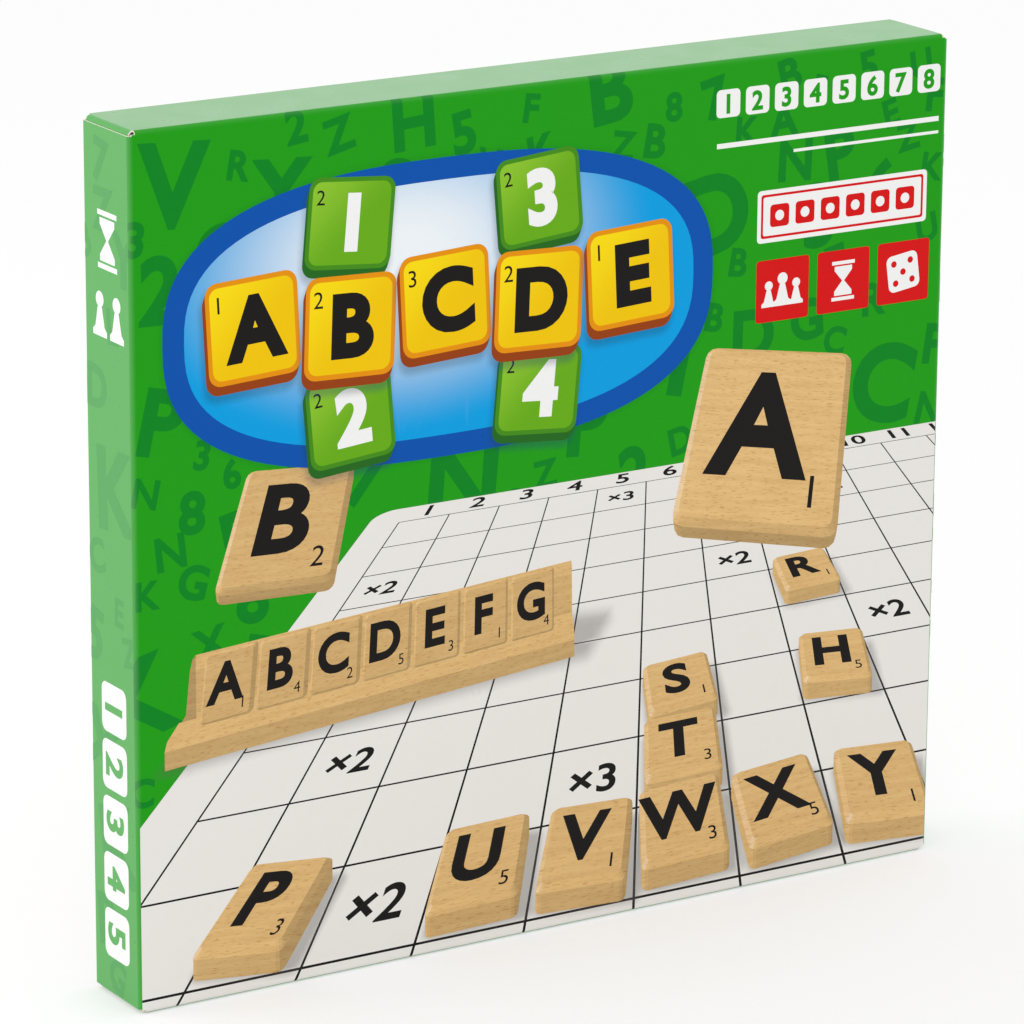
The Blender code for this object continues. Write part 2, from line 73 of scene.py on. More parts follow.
# Folded cartons, as in the solids
CARTON_THICKNESS = 0.0007
FOLD_RADIUS = 0.00105
EAR_RADIUS = 0.0016
ROLL_RADIUS = 0.00085
EAR_LENGTH = 0.045
EAR_INSET = 0.0003
EAR_TAPER = 0.003
SEAT_GAP = 0.0003
BLEED = 0.012
FOLD_STEPS = 8
ROLL_STEPS = 14
INK_LIFT = 0.00002
CREASES = 5
SHARP_ANGLE = pi / 5

# Slots of a carton's materials. Its outside has the first
LINER, RAW_EDGE, COATED = 1, 2, 3

# Camera, from a perspective fit to the corners of the box
YAW = -31.9
PITCH = 16.1
ROLL = 0.36
DISTANCE_SHARE = 5.85
SHIFT_SHARES = (-0.017, -0.010)
FOCAL_PIXELS = 5500
PICTURE_PIXELS = 1024
SENSOR = 36
CLIP_END = 50

# Light and floor. A lamp has a place, a target, a size and a power
AMBIENT = 0.95
FLOOR_GLOW_SHARE = 0.42
FLOOR_HALF = 8
FLOOR_DROP = 0.0002
LAMPS = {
    "left_back": ((-1.1, 0.7, 0.45), (-0.15, 0, 0.2), (0.9, 0.8), 4),
    "front_fill": ((-1.6, -2.6, 1.2), (0, 0, 0.17), (1.5, 1.5), 9),
}

# How strongly the streaks and the flecks of beech show, and in what tint
PRINTED_GRAIN = ((0.22, (0.50, 0.30, 0.12)), (0.55, (0.58, 0.34, 0.16)))
WOOD_GRAIN = ((0.34, (0.34, 0.20, 0.09)), (0.5, (0.45, 0.27, 0.14)))

# All lengths from here on are in millimetres. Characters, and those scattered over the ground colour
CAP_HEIGHT = 0.686
BOLD = 0.035
MARK_BOLD = 0.02
SPIKE_SHARE = 0.35
GLYPH_STEPS = 6
LETTERS = "ABCDEFGHIJKLMNOPQRSTUVWXYZ"
GHOSTS = "ABCDEFGHKLMNPRSTUVXYZ23456789"
GHOST_SIZES = (11, 13, 16, 20, 25, 31)
GHOST_SPACE_SHARE = 0.56
GHOST_TURN = 16

# The picture of a game on the lid, drawn through a lens at one point. A shadow has a blur and a strength
VANISHING = (228, 312)
LENS_HEIGHT = 130
FOCUS = 360
SQUARE = 21.5
SQUARES = 15
PICTURE_LEFT = 104
PICTURE_MARGIN = 14
PICTURE_RADIUS = 9
PICTURE_EDGE = 2.2
ROWS_SHOWN = 11.2
NUMBERS_SHOWN = 12
GRID_LINE = 0.52
LIGHT = Vector((-0.62, -0.40, 0.76)).normalized()
LIT_SHARES = (0.55, 0.42, 0.30)
SHADOW_FALL = Vector((0.72, -0.10, -1))
PICTURE_MARKS = (
    (0, 2), (4, 0), (8, 1), (2, 4), (6, 3), (10, 4),
    (1, 6), (4, 7), (8, 5), (9, 8), (2, 8), (6, 9),
)
PICTURE_MARK_HEIGHT = 8
PICTURE_NUMBER_HEIGHT = 9.5
PICTURE_NUMBER_ROW = -0.86
PICTURE_SHADOW = (4, 0.34)
SOFT_CORE_SHARE = 0.6
SOFT_STEPS = 1.6
SOFT_SPACING = 1.2

# How far the picture stops short of the left, the bottom and the right fold, and how far paint runs on
RIMS = (1.15, 0.45, 0.9)
BEYOND = 5

# Tiles of the picture: those that lie on squares, and those that float with their place, turns,
# size, text, seed and the scale of their grain
LYING = (
    (5, 6, "S"), (5, 7, "T"), (3, 8, "U"), (4, 8, "V"), (5, 8, "W"),
    (6, 8, "X"), (7, 8, "Y"), (1, 8, "P"), (7, 6, "H"), (7, 4, "R"),
)
LYING_SIZE = (18.2, 19.6, 4.6)
LYING_STRAY = 0.7
LYING_TURN = 7
LYING_SHADOW = (3.2, 0.5)
LYING_GRAIN = 1.2
GRAIN_FIELD = 900
FLOATING = (
    ((84, -40, 12), (40, 8, 14), (40, 44, 7.5), ("B", 2), 71, 1.0),
    ((268, -92, 34), (42, 6, -14), (54, 58, 9), ("A", 1), 72, 0.9),
)
TILE_ROUND_SHARE = 0.07
TILE_EASE_SHARE = 0.22
TILE_HEAD_ROUND_SHARE = 0.7

# How far across and up a character stands on a tile, and how tall it is, as shares of the tile
LETTER_SHARES = (-0.04, -0.22, 0.56)
VALUE_SHARES = (0.32, -0.38, 0.16)
BADGE_LETTER_SHARES = (0.03, -0.27, 0.60)
BADGE_VALUE_SHARES = (-0.36, 0.20, 0.16)

# The rack of the picture, with its profile as how far back and how high
RACK_PROFILE = (
    (0, 0), (0, 6), (2, 8), (12, 8), (13, 6.8),
    (18, 6.8), (22, 19.5), (24.5, 22), (27.5, 22), (27.5, 0),
)
RACK_LENGTH = 146
RACK_PLACE = (152, -136, 0)
RACK_TURN = 9
RACK_SHARE = 0.74
RACK_SHADOW = (5, 0.5)
RACK_GRAIN = (310, 77, 0.9)
RACK_GRAIN_AXES = ((0, 0, 8), (1, 0, 8), (0, 0.7, 8.7))
RACK_FILL_SHARE = 0.98
RACK_SPARE_SHARE = 0.6
RACK_SEAT = (15.2, 15.6)
RACK_LEAN = 72
RACK_TILE_SHARES = (0.92, 1.12)
RACK_TILE_THICKNESS = 3.4
RACK_TILE_GRAIN = 0.9
RACK_TILE_SEED = 40

# The title plate, and the two kinds of bright tile on it
PLATE_MIDDLE = (134, 258)
PLATE_HALF = (121, 58)
SKY_HALF = (112, 49.5)
SKY_GLOW = (-18, 22)
SKY_REACH = (100, 62)
SKY_SHARES = (0.12, 1.12)
SKY_SPACING = 4.5
PLATE_SHADOW = (3, 0.25)
BADGE_PITCHES = (41.5, 37.5)
GREEN_BADGE = (37, 35)
GREEN_TURN = 5
GREEN_VALUE = 2
YELLOW_BADGE = (39, 39.5)
YELLOW_LIES = ((3, 2.5), (-2, -2))
YELLOW_VALUES = (1, 2, 3, 2, 1)
BADGE_BOLD = 0.05
BADGE_DROP_SHARES = (-0.030, -0.085)
BADGE_ROUND_SHARE = 0.13
BADGE_FACE_SHARES = (0.91, 0.90, 0.10)
BADGE_SHADOW = (2.6, 0.42)
BADGE_SHADOW_SHARES = (0.6, 0.7)
BADGE_SHINE_SHARES = (-0.42, 0.10)
BADGE_SPACING = 5

# Outlines of plain pictures, one unit high
PAWN_HEAD = (0.17, (0, 0.78))
PAWN_BODY = (
    (-0.30, 0.0), (0.30, 0.0), (0.30, 0.12), (0.20, 0.20),
    (0.09, 0.62), (-0.09, 0.62), (-0.20, 0.20), (-0.30, 0.12),
)
GLASS_RIMS = ((-0.34, 0.0, 0.34, 0.09), (-0.34, 0.91, 0.34, 1.0))
GLASS = (
    (-0.26, 0.13), (0.26, 0.13), (0.26, 0.24), (0.03, 0.5), (0.26, 0.76),
    (0.26, 0.87), (-0.26, 0.87), (-0.26, 0.76), (-0.03, 0.5), (-0.26, 0.24),
)

# Pictures on red squares, a label with dots, numbered white squares and two rules, all on the lid.
# A rounded square has a width, a height and a radius
CHIP_ROUND_SHARE = 0.17
CHIP_SHARES = (0, -0.34, 0.68)
ICON_START = (288, 246)
ICON_PITCH = 29
ICON = (25, 25, 1.2)
PAWNS = ((-6.5, 11), (0, 14), (6.5, 11))
PAWN_RISE = 0.5
GLASS_HEIGHT = 16
DIE = (15, 15, 2.6)
DIE_TURN = 8
DIE_SPOTS = ((-4, -4), (4, 4), (0, 0), (-4, 4), (4, -4))
DIE_SPOT_RADIUS = 1.35
LABEL_MIDDLE = (316, 276)
LABEL_FRAMES = ((81, 21, 1.6), (77.5, 17.5, 1.0), (75.5, 15.5, 0.8))
LABEL_DOTS = 6
LABEL_PITCH = 12
LABEL_SQUARE = (9, 9, 1.4)
LABEL_DOT_RADIUS = 2.1
CHIPS = 8
CHIP_START = (261, 323)
CHIP_PITCH = 13.6
CHIP_SIZE = 11
RULES = ((256, 305.4, 361.4, 307.4), (292, 300.4, 361.4, 301.6))

# The ground colour: the margins of what is scattered on it, and how far and how much a painted highlight
# pales the folds
GHOST_MARGINS = (2, 70, 2, 4)
GHOST_TRIES = 2200
FOLD_HIGHLIGHT_REACH_SHARE = 1.5
FOLD_HIGHLIGHT_SHARES = (0.08, 0.03)

# The side walls' print: its insets in front, at the ends and behind, and its marks upwards from the foot
WALL_INSETS = (0.8, 1.2, 1.8)
WALL_SHIFT = 0.6
WALL_GHOST_TRIES = 90
WALL_CHIPS = 5
WALL_CHIP_START = 26
WALL_CHIP_PITCH = 22.5
WALL_CHIP_SIZE = 19.5
WALL_GLASS_UP = 296
WALL_GLASS_HEIGHT = 22
WALL_PAWN_UP = 268
WALL_PAWN_HEIGHT = 18
WALL_PAWN_OFFSET = 6.6

# The prints on the real board, tiles and leaflet
BOARD_MARGINS = (11.9, 10.3)
BOARD_LINE = 0.4
BOARD_INSET = 0.4
BOARD_PRINT_RADIUS = 11.6
BOARD_NUMBER_HEIGHT = 3.8
BOARD_MARK_HEIGHT = 5.2
STAR_RADII = (7, 3)
TILE_ROWS = 6
TILE_COLUMNS = 8
TILE_LETTER = ((-0.6, -4.4), 10.6)
TILE_VALUE = ((5.6, -8.2), 2.9)
INK_FIELD = (-200, -10, 200, 360)
LEAFLET_INSETS = (2, 1)
LEAFLET_MARGIN = 14
LEAFLET_BLOCKS = 2
LEAFLET_BLOCK_PITCH = 54
LEAFLET_BLOCK_DROP = 36
LEAFLET_LINES = 9
LEAFLET_LINE_PITCH = 4.6
LEAFLET_BAR_HALF = 0.8
LEAFLET_STRAY = 12
LEAFLET_LAST_GAP = 52
DIAGRAM_CORNER = (14, 16)
DIAGRAM_CELLS = (10, 4)
CELL = 12
CELL_LINE = 0.4
CELL_LETTER = (3.2, 5.6)

# How far the leaflet's title bar ends from the right, and its foot and its head from the top
LEAFLET_TITLE = (50, 24, 17)

# Marked squares of the board, by how many squares they lie from its middle each way
BOARD_MARKS = {
    (3, 7): "×3", (4, 4): "×3", (0, 6): "×3",
    (2, 2): "×2", (1, 5): "×2", (2, 6): "×2", (5, 6): "×2",
}


def ink(red, green, blue):
    """A linear colour from the 0 to 255 values that it shows as."""
    return tuple((value / 255) ** 2.2 for value in (red, green, blue))


GREEN = ink(34, 156, 22)
GHOST_GREEN = ink(0, 132, 36)
# The walls' green, and the green of the ghosts on them, are paler than the front's: painted sheen, standing
# in for part of the gloss the walls show at a slant
WALL_GREEN_WITH_PAINTED_SHEEN = ink(92, 171, 90)
WALL_GHOST_GREEN_WITH_PAINTED_SHEEN = ink(82, 161, 86)
RING_BLUE = ink(0, 84, 172)
SKY_BLUE = ink(0, 158, 226)
SKY_WHITE = ink(240, 246, 250)
YELLOW = ink(244, 198, 0)
YELLOW_LIGHT = ink(252, 222, 20)
ORANGE = ink(232, 146, 16)
BROWN = ink(150, 66, 22)
LEAF = ink(104, 172, 28)
LEAF_LIGHT = ink(140, 196, 50)
LEAF_RIM = ink(70, 140, 30)
LEAF_SIDE = ink(40, 104, 34)
RED = ink(216, 22, 24)
WHITE = ink(246, 246, 244)
PAPER = ink(236, 233, 228)
PAPER_EDGE = ink(150, 148, 144)
BLACK = ink(28, 26, 25)
LINE_GREY = ink(120, 122, 124)
BEECH_INK = ink(244, 202, 136)
LEAFLET_WHITE = ink(238, 236, 231)
SHADE = (0.10, 0.09, 0.085)
GREEN_SHADE = (0.0, 0.06, 0.02)
BLUE_SHADE = (0.01, 0.05, 0.10)


def smooth(low, high, value):
    share = np.clip((value - low) / (high - low), 0, 1)
    return share * share * (3 - 2 * share)


def blended(first, second, share, cover=1):
    """One colour for each share, from the first to the second, each with how far it covers."""
    share = np.asarray(share)[:, None]
    colours = np.array(first) * (1 - share) + np.array(second) * share
    return np.hstack([colours, np.broadcast_to(np.reshape(cover, (-1, 1)), (len(share), 1))])


# Pieces


def added(name, data):
    """A new object in the scene."""
    made = bpy.data.objects.new(name, data)
    bpy.context.scene.collection.objects.link(made)
    return made


def show(name, mesh, body, replaced=(), place=(0, 0, 0), turn=0):
    piece = added(name, mesh)
    piece.location = place
    piece.rotation_euler.z = turn
    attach(piece, body)
    if replaced:
        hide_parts(*replaced)
    return piece


def dress(names, material):
    """Gives CAD nodes a better material."""
    for name in names:
        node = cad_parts[name]
        node.data.materials.clear()
        node.data.materials.append(material)


# Materials


def new_material(name):
    material = bpy.data.materials.new(name)
    material.use_nodes = True
    tree = material.node_tree
    return material, tree, tree.nodes["Principled BSDF"]


def feed(tree, target, values):
    """Gives inputs of a node their values, or links them to outputs of other nodes."""
    for key, value in values.items():
        if isinstance(value, bpy.types.NodeSocket):
            tree.links.new(value, target.inputs[key])
        else:
            target.inputs[key].default_value = value


def node(tree, kind, values=None, **settings):
    made = tree.nodes.new(kind)
    for key, value in settings.items():
        setattr(made, key, value)
    feed(tree, made, values or {})
    return made


def noise(tree, vector, scale, detail, stretch=(1, 1, 1)):
    mapping = node(tree, "ShaderNodeMapping", {"Scale": stretch, "Vector": vector})
    values = {"Scale": scale, "Detail": detail, "Vector": mapping.outputs["Vector"]}
    return node(tree, "ShaderNodeTexNoise", values).outputs["Fac"]


def ramp(tree, factor, stops):
    made = node(tree, "ShaderNodeValToRGB", {"Fac": factor})
    elements = made.color_ramp.elements
    while len(elements) < len(stops):
        elements.new(0.5)
    for element, (place, value) in zip(elements, stops):
        element.position = place
        element.color = (*value, 1) if isinstance(value, tuple) else (value, value, value, 1)
    return made.outputs["Color"]


def mix(tree, factor, first, second, blend="MIX"):
    colours = [(*colour, 1) if isinstance(colour, tuple) else colour for colour in (first, second)]
    values = {0: factor, 6: colours[0], 7: colours[1]}
    return node(tree, "ShaderNodeMix", values, data_type="RGBA", blend_type=blend).outputs[2]


def times(tree, first, second):
    return node(tree, "ShaderNodeMath", {0: first, 1: second}, operation="MULTIPLY").outputs[0]


def bumped(tree, shader, height, strength, distance):
    values = {"Strength": strength, "Distance": distance, "Height": height}
    feed(tree, shader, {"Normal": node(tree, "ShaderNodeBump", values).outputs["Normal"]})


def object_point(tree):
    return node(tree, "ShaderNodeTexCoord").outputs["Object"]


def beech_marks(tree, point, long_scale, streak, fleck):
    """Streaks and short dark flecks along the first axis of a point, each from 0 to 1."""
    streaks = ramp(tree, noise(tree, point, long_scale, 3, streak), ((0.35, 0.0), (0.72, 1.0)))
    flecks = ramp(tree, noise(tree, point, long_scale, 1, fleck), ((0.60, 0.0), (0.70, 1.0)))
    return streaks, flecks


def grained(tree, colour, marks, stains):
    """A colour with beech marks in it, each as strong as its stain says."""
    for mark, (strength, tint) in zip(marks, stains):
        colour = mix(tree, times(tree, mark, strength), colour, tint, "MULTIPLY")
    return colour


def printed_finish(name, sheen):
    """Print in the colours of the ink attribute, with beech marks where the grain attribute says so."""
    material, tree, shader = new_material(name)
    colour = node(tree, "ShaderNodeAttribute", attribute_name="ink").outputs["Color"]
    grain = node(tree, "ShaderNodeAttribute", attribute_name="grain").outputs["Vector"]
    split = node(tree, "ShaderNodeSeparateXYZ", {"Vector": grain}).outputs
    join = node(tree, "ShaderNodeCombineXYZ", {"X": split["X"], "Y": split["Y"]})
    marks = beech_marks(tree, join.outputs["Vector"], 1, (0.06, 0.6, 1), (0.42, 3.4, 1))
    marks = [times(tree, mark, split["Z"]) for mark in marks]
    point = object_point(tree)
    values = {
        "Base Color": grained(tree, colour, marks, PRINTED_GRAIN),
        "Roughness": ramp(tree, noise(tree, point, scale=60, detail=3), ((0.3, 0.26), (0.7, 0.34))),
        "Specular IOR Level": 0.10,
        "Sheen Weight": sheen,
        "Sheen Roughness": 0.3,
        "Sheen Tint": (1, 1, 1, 1),
    }
    feed(tree, shader, values)
    bumped(tree, shader, noise(tree, point, scale=900, detail=2), strength=0.10, distance=0.00008)
    return material


def board_finish(name, colour, dark_share, roughness):
    """Bare or coated board, with fibres in it."""
    material, tree, shader = new_material(name)
    point = object_point(tree)
    fibres = noise(tree, point, scale=260, detail=6, stretch=(1, 1, 2.2))
    dark = tuple(value * dark_share for value in colour)
    tone = ramp(tree, fibres, ((0.36, dark), (0.62, colour)))
    feed(tree, shader, {"Base Color": tone, "Roughness": roughness})
    bumped(tree, shader, noise(tree, point, scale=1400, detail=3), strength=0.16, distance=0.0001)
    return material


def beech_finish(name):
    """Lacquered beech with its grain along X, laid otherwise on each piece."""
    material, tree, shader = new_material(name)
    chance = node(tree, "ShaderNodeObjectInfo").outputs["Random"]
    spread = node(tree, "ShaderNodeVectorMath", {0: (3.1, 7.3, 5.7), "Scale": chance}, operation="SCALE")
    values = {0: object_point(tree), 1: spread.outputs[0]}
    shifted = node(tree, "ShaderNodeVectorMath", values, operation="ADD")
    marks = beech_marks(tree, shifted.outputs[0], 1000, (0.05, 0.55, 0.55), (0.30, 2.0, 2.0))
    streaks, flecks = marks
    tone = ramp(tree, chance, ((0.0, ink(240, 208, 158)), (1.0, ink(230, 194, 142))))
    values = {
        "Base Color": grained(tree, tone, marks, WOOD_GRAIN),
        "Roughness": ramp(tree, streaks, ((0.0, 0.42), (1.0, 0.52))),
    }
    feed(tree, shader, values)
    bumped(tree, shader, flecks, strength=0.12, distance=0.00006)
    return material


def plastic_finish():
    material, tree, shader = new_material("formed_plastic")
    point = object_point(tree)
    patches = noise(tree, point, scale=40, detail=2)
    tone = ramp(tree, patches, ((0.3, ink(229, 229, 227)), (0.7, ink(236, 236, 234))))
    feed(tree, shader, {"Base Color": tone, "Roughness": 0.34})
    bumped(tree, shader, noise(tree, point, scale=500, detail=2), strength=0.06, distance=0.0001)
    return material


# Cartons


def verts_of(geometry):
    return [part for part in geometry if isinstance(part, bmesh.types.BMVert)]


def edges_of(geometry):
    return [part for part in geometry if isinstance(part, bmesh.types.BMEdge)]


def fold(bm, edges, centre, axis, angle, steps):
    corners = list({vert for edge in edges for vert in edge.verts})
    turned = bmesh.ops.spin(
        bm, geom=corners + edges, cent=centre, axis=axis, angle=angle, steps=steps, use_duplicate=False
    )
    return edges_of(turned["geom_last"])


def run_on(bm, edges, move):
    made = bmesh.ops.extrude_edge_only(bm, edges=edges)["geom"]
    ends = verts_of(made)
    bmesh.ops.translate(bm, verts=ends, vec=move)
    return [edge for edge in edges_of(made) if all(vert in ends for vert in edge.verts)]


def panel(bm, across, up):
    places = product(enumerate(across), enumerate(up))
    corners = {(column, row): bm.verts.new((x, 0, z)) for (column, x), (row, z) in places}
    for column, row in product(range(len(across) - 1), range(len(up) - 1)):
        ring = ((column, row), (column + 1, row), (column + 1, row + 1), (column, row + 1))
        bm.faces.new([corners[key] for key in ring])
    return corners


def rolled_wall(bm, low, high, side, wall_x, panel_x, roll_y):
    edge = [bm.edges.get((low, high))]
    edge = fold(bm, edge, (side * panel_x, FOLD_RADIUS, 0), (0, 0, side), pi / 2, FOLD_STEPS)
    edge = run_on(bm, edge, (0, roll_y - FOLD_RADIUS, 0))
    edge = fold(bm, edge, (side * (wall_x - ROLL_RADIUS), roll_y, 0), (0, 0, side), pi, ROLL_STEPS)
    edge = run_on(bm, edge, (0, -BLEED, 0))
    edge = run_on(bm, edge, (0, CARTON_THICKNESS / 2 + SEAT_GAP + BLEED - roll_y, 0))
    for face in edge[0].link_faces:
        face.material_index = COATED


def eared_wall(bm, left, right, side, wall_z, end_wall_x, roll_y, rim_y):
    edge = [bm.edges.get((left, right))]
    edge = fold(bm, edge, (0, FOLD_RADIUS, side * (wall_z - FOLD_RADIUS)), (-side, 0, 0), pi / 2, FOLD_STEPS)
    ear_low_y = FOLD_RADIUS + EAR_INSET
    ear_high_y = roll_y - SEAT_GAP
    edge = run_on(bm, edge, (0, ear_low_y - FOLD_RADIUS, 0))
    ear_foot = edge[0].verts[:]
    edge = run_on(bm, edge, (0, ear_high_y - ear_low_y, 0))
    ear_head = edge[0].verts[:]
    run_on(bm, edge, (0, rim_y - ear_high_y, 0))
    for end in (-1, 1):
        foot = max(ear_foot, key=lambda vert: end * vert.co.x)
        head = max(ear_head, key=lambda vert: end * vert.co.x)
        root = [bm.edges.get((foot, head))]
        centre = (end * end_wall_x, 0, side * (wall_z - EAR_RADIUS))
        tip = fold(bm, root, centre, (0, end * side, 0), pi / 2, FOLD_STEPS)
        tip = run_on(bm, tip, (0, 0, -side * EAR_LENGTH))
        for vert in tip[0].verts:
            inward = 1 if vert.co.y < (ear_low_y + ear_high_y) / 2 else -1
            vert.co.y += inward * EAR_TAPER


def folded_carton(name, low, high, materials, colour):
    """The half box of the solids, with finer folds: its panel's outer face at y = 0, its walls along +Y."""
    width, height, depth = high.x - low.x, high.z - low.z, high.y - low.y
    wall_x = width / 2 - CARTON_THICKNESS / 2
    wall_z = height / 2 - CARTON_THICKNESS / 2
    end_wall_x = wall_x - ROLL_RADIUS - EAR_RADIUS
    side_wall_z = wall_z - EAR_RADIUS
    panel_x = wall_x - FOLD_RADIUS
    panel_z = wall_z - FOLD_RADIUS
    roll_y = depth - CARTON_THICKNESS - ROLL_RADIUS
    rim_y = depth - CARTON_THICKNESS / 2
    bm = bmesh.new()
    corners = panel(
        bm,
        (-panel_x, -end_wall_x, end_wall_x, panel_x),
        (-panel_z, -side_wall_z, side_wall_z, panel_z),
    )
    for side, column in ((-1, 0), (1, 3)):
        rolled_wall(bm, corners[column, 1], corners[column, 2], side, wall_x, panel_x, roll_y)
    for side, row in ((-1, 0), (1, 3)):
        eared_wall(bm, corners[1, row], corners[2, row], side, wall_z, end_wall_x, roll_y, rim_y)
    bmesh.ops.recalc_face_normals(bm, faces=bm.faces)
    bmesh.ops.translate(bm, verts=bm.verts, vec=(0, CARTON_THICKNESS / 2, 0))
    mesh = bpy.data.meshes.new(name)
    bm.to_mesh(mesh)
    bm.free()
    for material in materials:
        mesh.materials.append(material)
    mesh.shade_smooth()
    mesh.set_sharp_from_angle(angle=SHARP_ANGLE)
    inks = mesh.color_attributes.new("ink", "FLOAT_COLOR", "CORNER")
    for corner in inks.data:
        corner.color = (*colour, 1)
    return mesh


def weighted(piece):
    """Keeps the wide flat faces flat where a narrow fold runs into them."""
    piece.data.set_sharp_from_angle(angle=SHARP_ANGLE)
    normals = piece.modifiers.new("Flat faces", "WEIGHTED_NORMAL")
    normals.keep_sharp = True


def boarded(piece):
    """Gives a folded sheet the thickness of its board."""
    solid = piece.modifiers.new("Board thickness", "SOLIDIFY")
    solid.thickness = CARTON_THICKNESS
    solid.offset = 0
    solid.use_even_offset = True
    solid.material_offset = LINER
    solid.material_offset_rim = RAW_EDGE
    thick = piece.evaluated_get(bpy.context.evaluated_depsgraph_get())
    mesh = bpy.data.meshes.new_from_object(thick)
    piece.modifiers.clear()
    piece.data = mesh
    weighted(piece)


# Outlines, in millimetres


def signed_area(ring):
    return sum(a[0] * b[1] - b[0] * a[1] for a, b in zip(ring, ring[1:] + ring[:1])) / 2


def placed(rings, centre, scale=1, turn=0):
    """Outlines turned, scaled and set down about a centre."""
    cosine = cos(turn) * scale
    sine = sin(turn) * scale
    return [
        [(centre[0] + x * cosine - y * sine, centre[1] + x * sine + y * cosine) for x, y in ring]
        for ring in rings
    ]


def rectangle(left, low, right, high):
    return [(left, low), (right, low), (right, high), (left, high)]


def rounded(width, height, radius, steps=5):
    """A rectangle about the origin with round corners."""
    ring = []
    for quarter, (side_x, side_y) in enumerate(((1, 1), (-1, 1), (-1, -1), (1, -1))):
        x, y = side_x * (width / 2 - radius), side_y * (height / 2 - radius)
        for step in range(steps + 1):
            angle = (quarter + step / steps) * pi / 2
            ring.append((x + radius * cos(angle), y + radius * sin(angle)))
    return ring


def disc(radius, centre=(0, 0), steps=20):
    angles = [step * tau / steps for step in range(steps)]
    return [(centre[0] + radius * cos(angle), centre[1] + radius * sin(angle)) for angle in angles]


def pillow(half_width, half_height):
    """A shape between an ellipse and a rectangle."""
    power = 2.6
    steps = 96
    ring = []
    for step in range(steps):
        angle = step * tau / steps
        across, up = (copysign(abs(share) ** (2 / power), share) for share in (cos(angle), sin(angle)))
        ring.append((half_width * across, half_height * up))
    return ring


def grown(ring, amount):
    """An outline moved outwards all round, where outwards is to the right of its direction."""
    moved = []
    for before, here, after in zip(ring[-1:] + ring[:-1], ring, ring[1:] + ring[:1]):
        come = (Vector(here) - Vector(before)).normalized()
        leave = (Vector(after) - Vector(here)).normalized()
        out = Vector((come.y + leave.y, -come.x - leave.x))
        share = max(1 + come.dot(leave), SPIKE_SHARE)
        moved.append(tuple(Vector(here) + out * (amount / share)))
    return moved


GLYPHS = {}


def text_outlines(text, bold=BOLD):
    """The outlines of plain characters in the built-in font, one unit high on y = 0, about x = 0."""
    if (text, bold) in GLYPHS:
        return GLYPHS[text, bold]
    curve = bpy.data.curves.new("glyph", "FONT")
    curve.body = text
    curve.fill_mode = "NONE"
    curve.resolution_u = GLYPH_STEPS
    holder = added("glyph", curve)
    mesh = holder.evaluated_get(bpy.context.evaluated_depsgraph_get()).to_mesh()
    joined = {}
    for start, end in (edge.vertices[:] for edge in mesh.edges):
        joined.setdefault(start, []).append(end)
        joined.setdefault(end, []).append(start)
    rings = []
    used = set()
    for first in range(len(mesh.vertices)):
        if first in used:
            continue
        ring = []
        ahead = [first]
        while ahead:
            used.add(ahead[0])
            ring.append(tuple(mesh.vertices[ahead[0]].co.xy))
            ahead = [other for other in joined[ahead[0]] if other not in used][:1]
        rings.append(ring)
    bpy.data.objects.remove(holder)
    outer = max(rings, key=lambda ring: abs(signed_area(ring)))
    if signed_area(outer) < 0:
        rings = [ring[::-1] for ring in rings]
    rings = [grown(ring, bold) for ring in rings]
    left = min(x for ring in rings for x, _ in ring)
    right = max(x for ring in rings for x, _ in ring)
    scale = 1 / (CAP_HEIGHT + bold)
    GLYPHS[text, bold] = [[((x - (left + right) / 2) * scale, y * scale) for x, y in ring] for ring in rings]
    return GLYPHS[text, bold]


def centred(text, bold, middle, height):
    """A text about a point, of a given height."""
    return placed(text_outlines(text, bold), (middle[0], middle[1] - height / 2), height)


def set_in(text, bold, width, height, shares):
    """A character on a tile's face, by its shares across, up and tall."""
    across, up, tall = shares
    return placed(text_outlines(text, bold), (width * across, height * up), height * tall)


# Prints


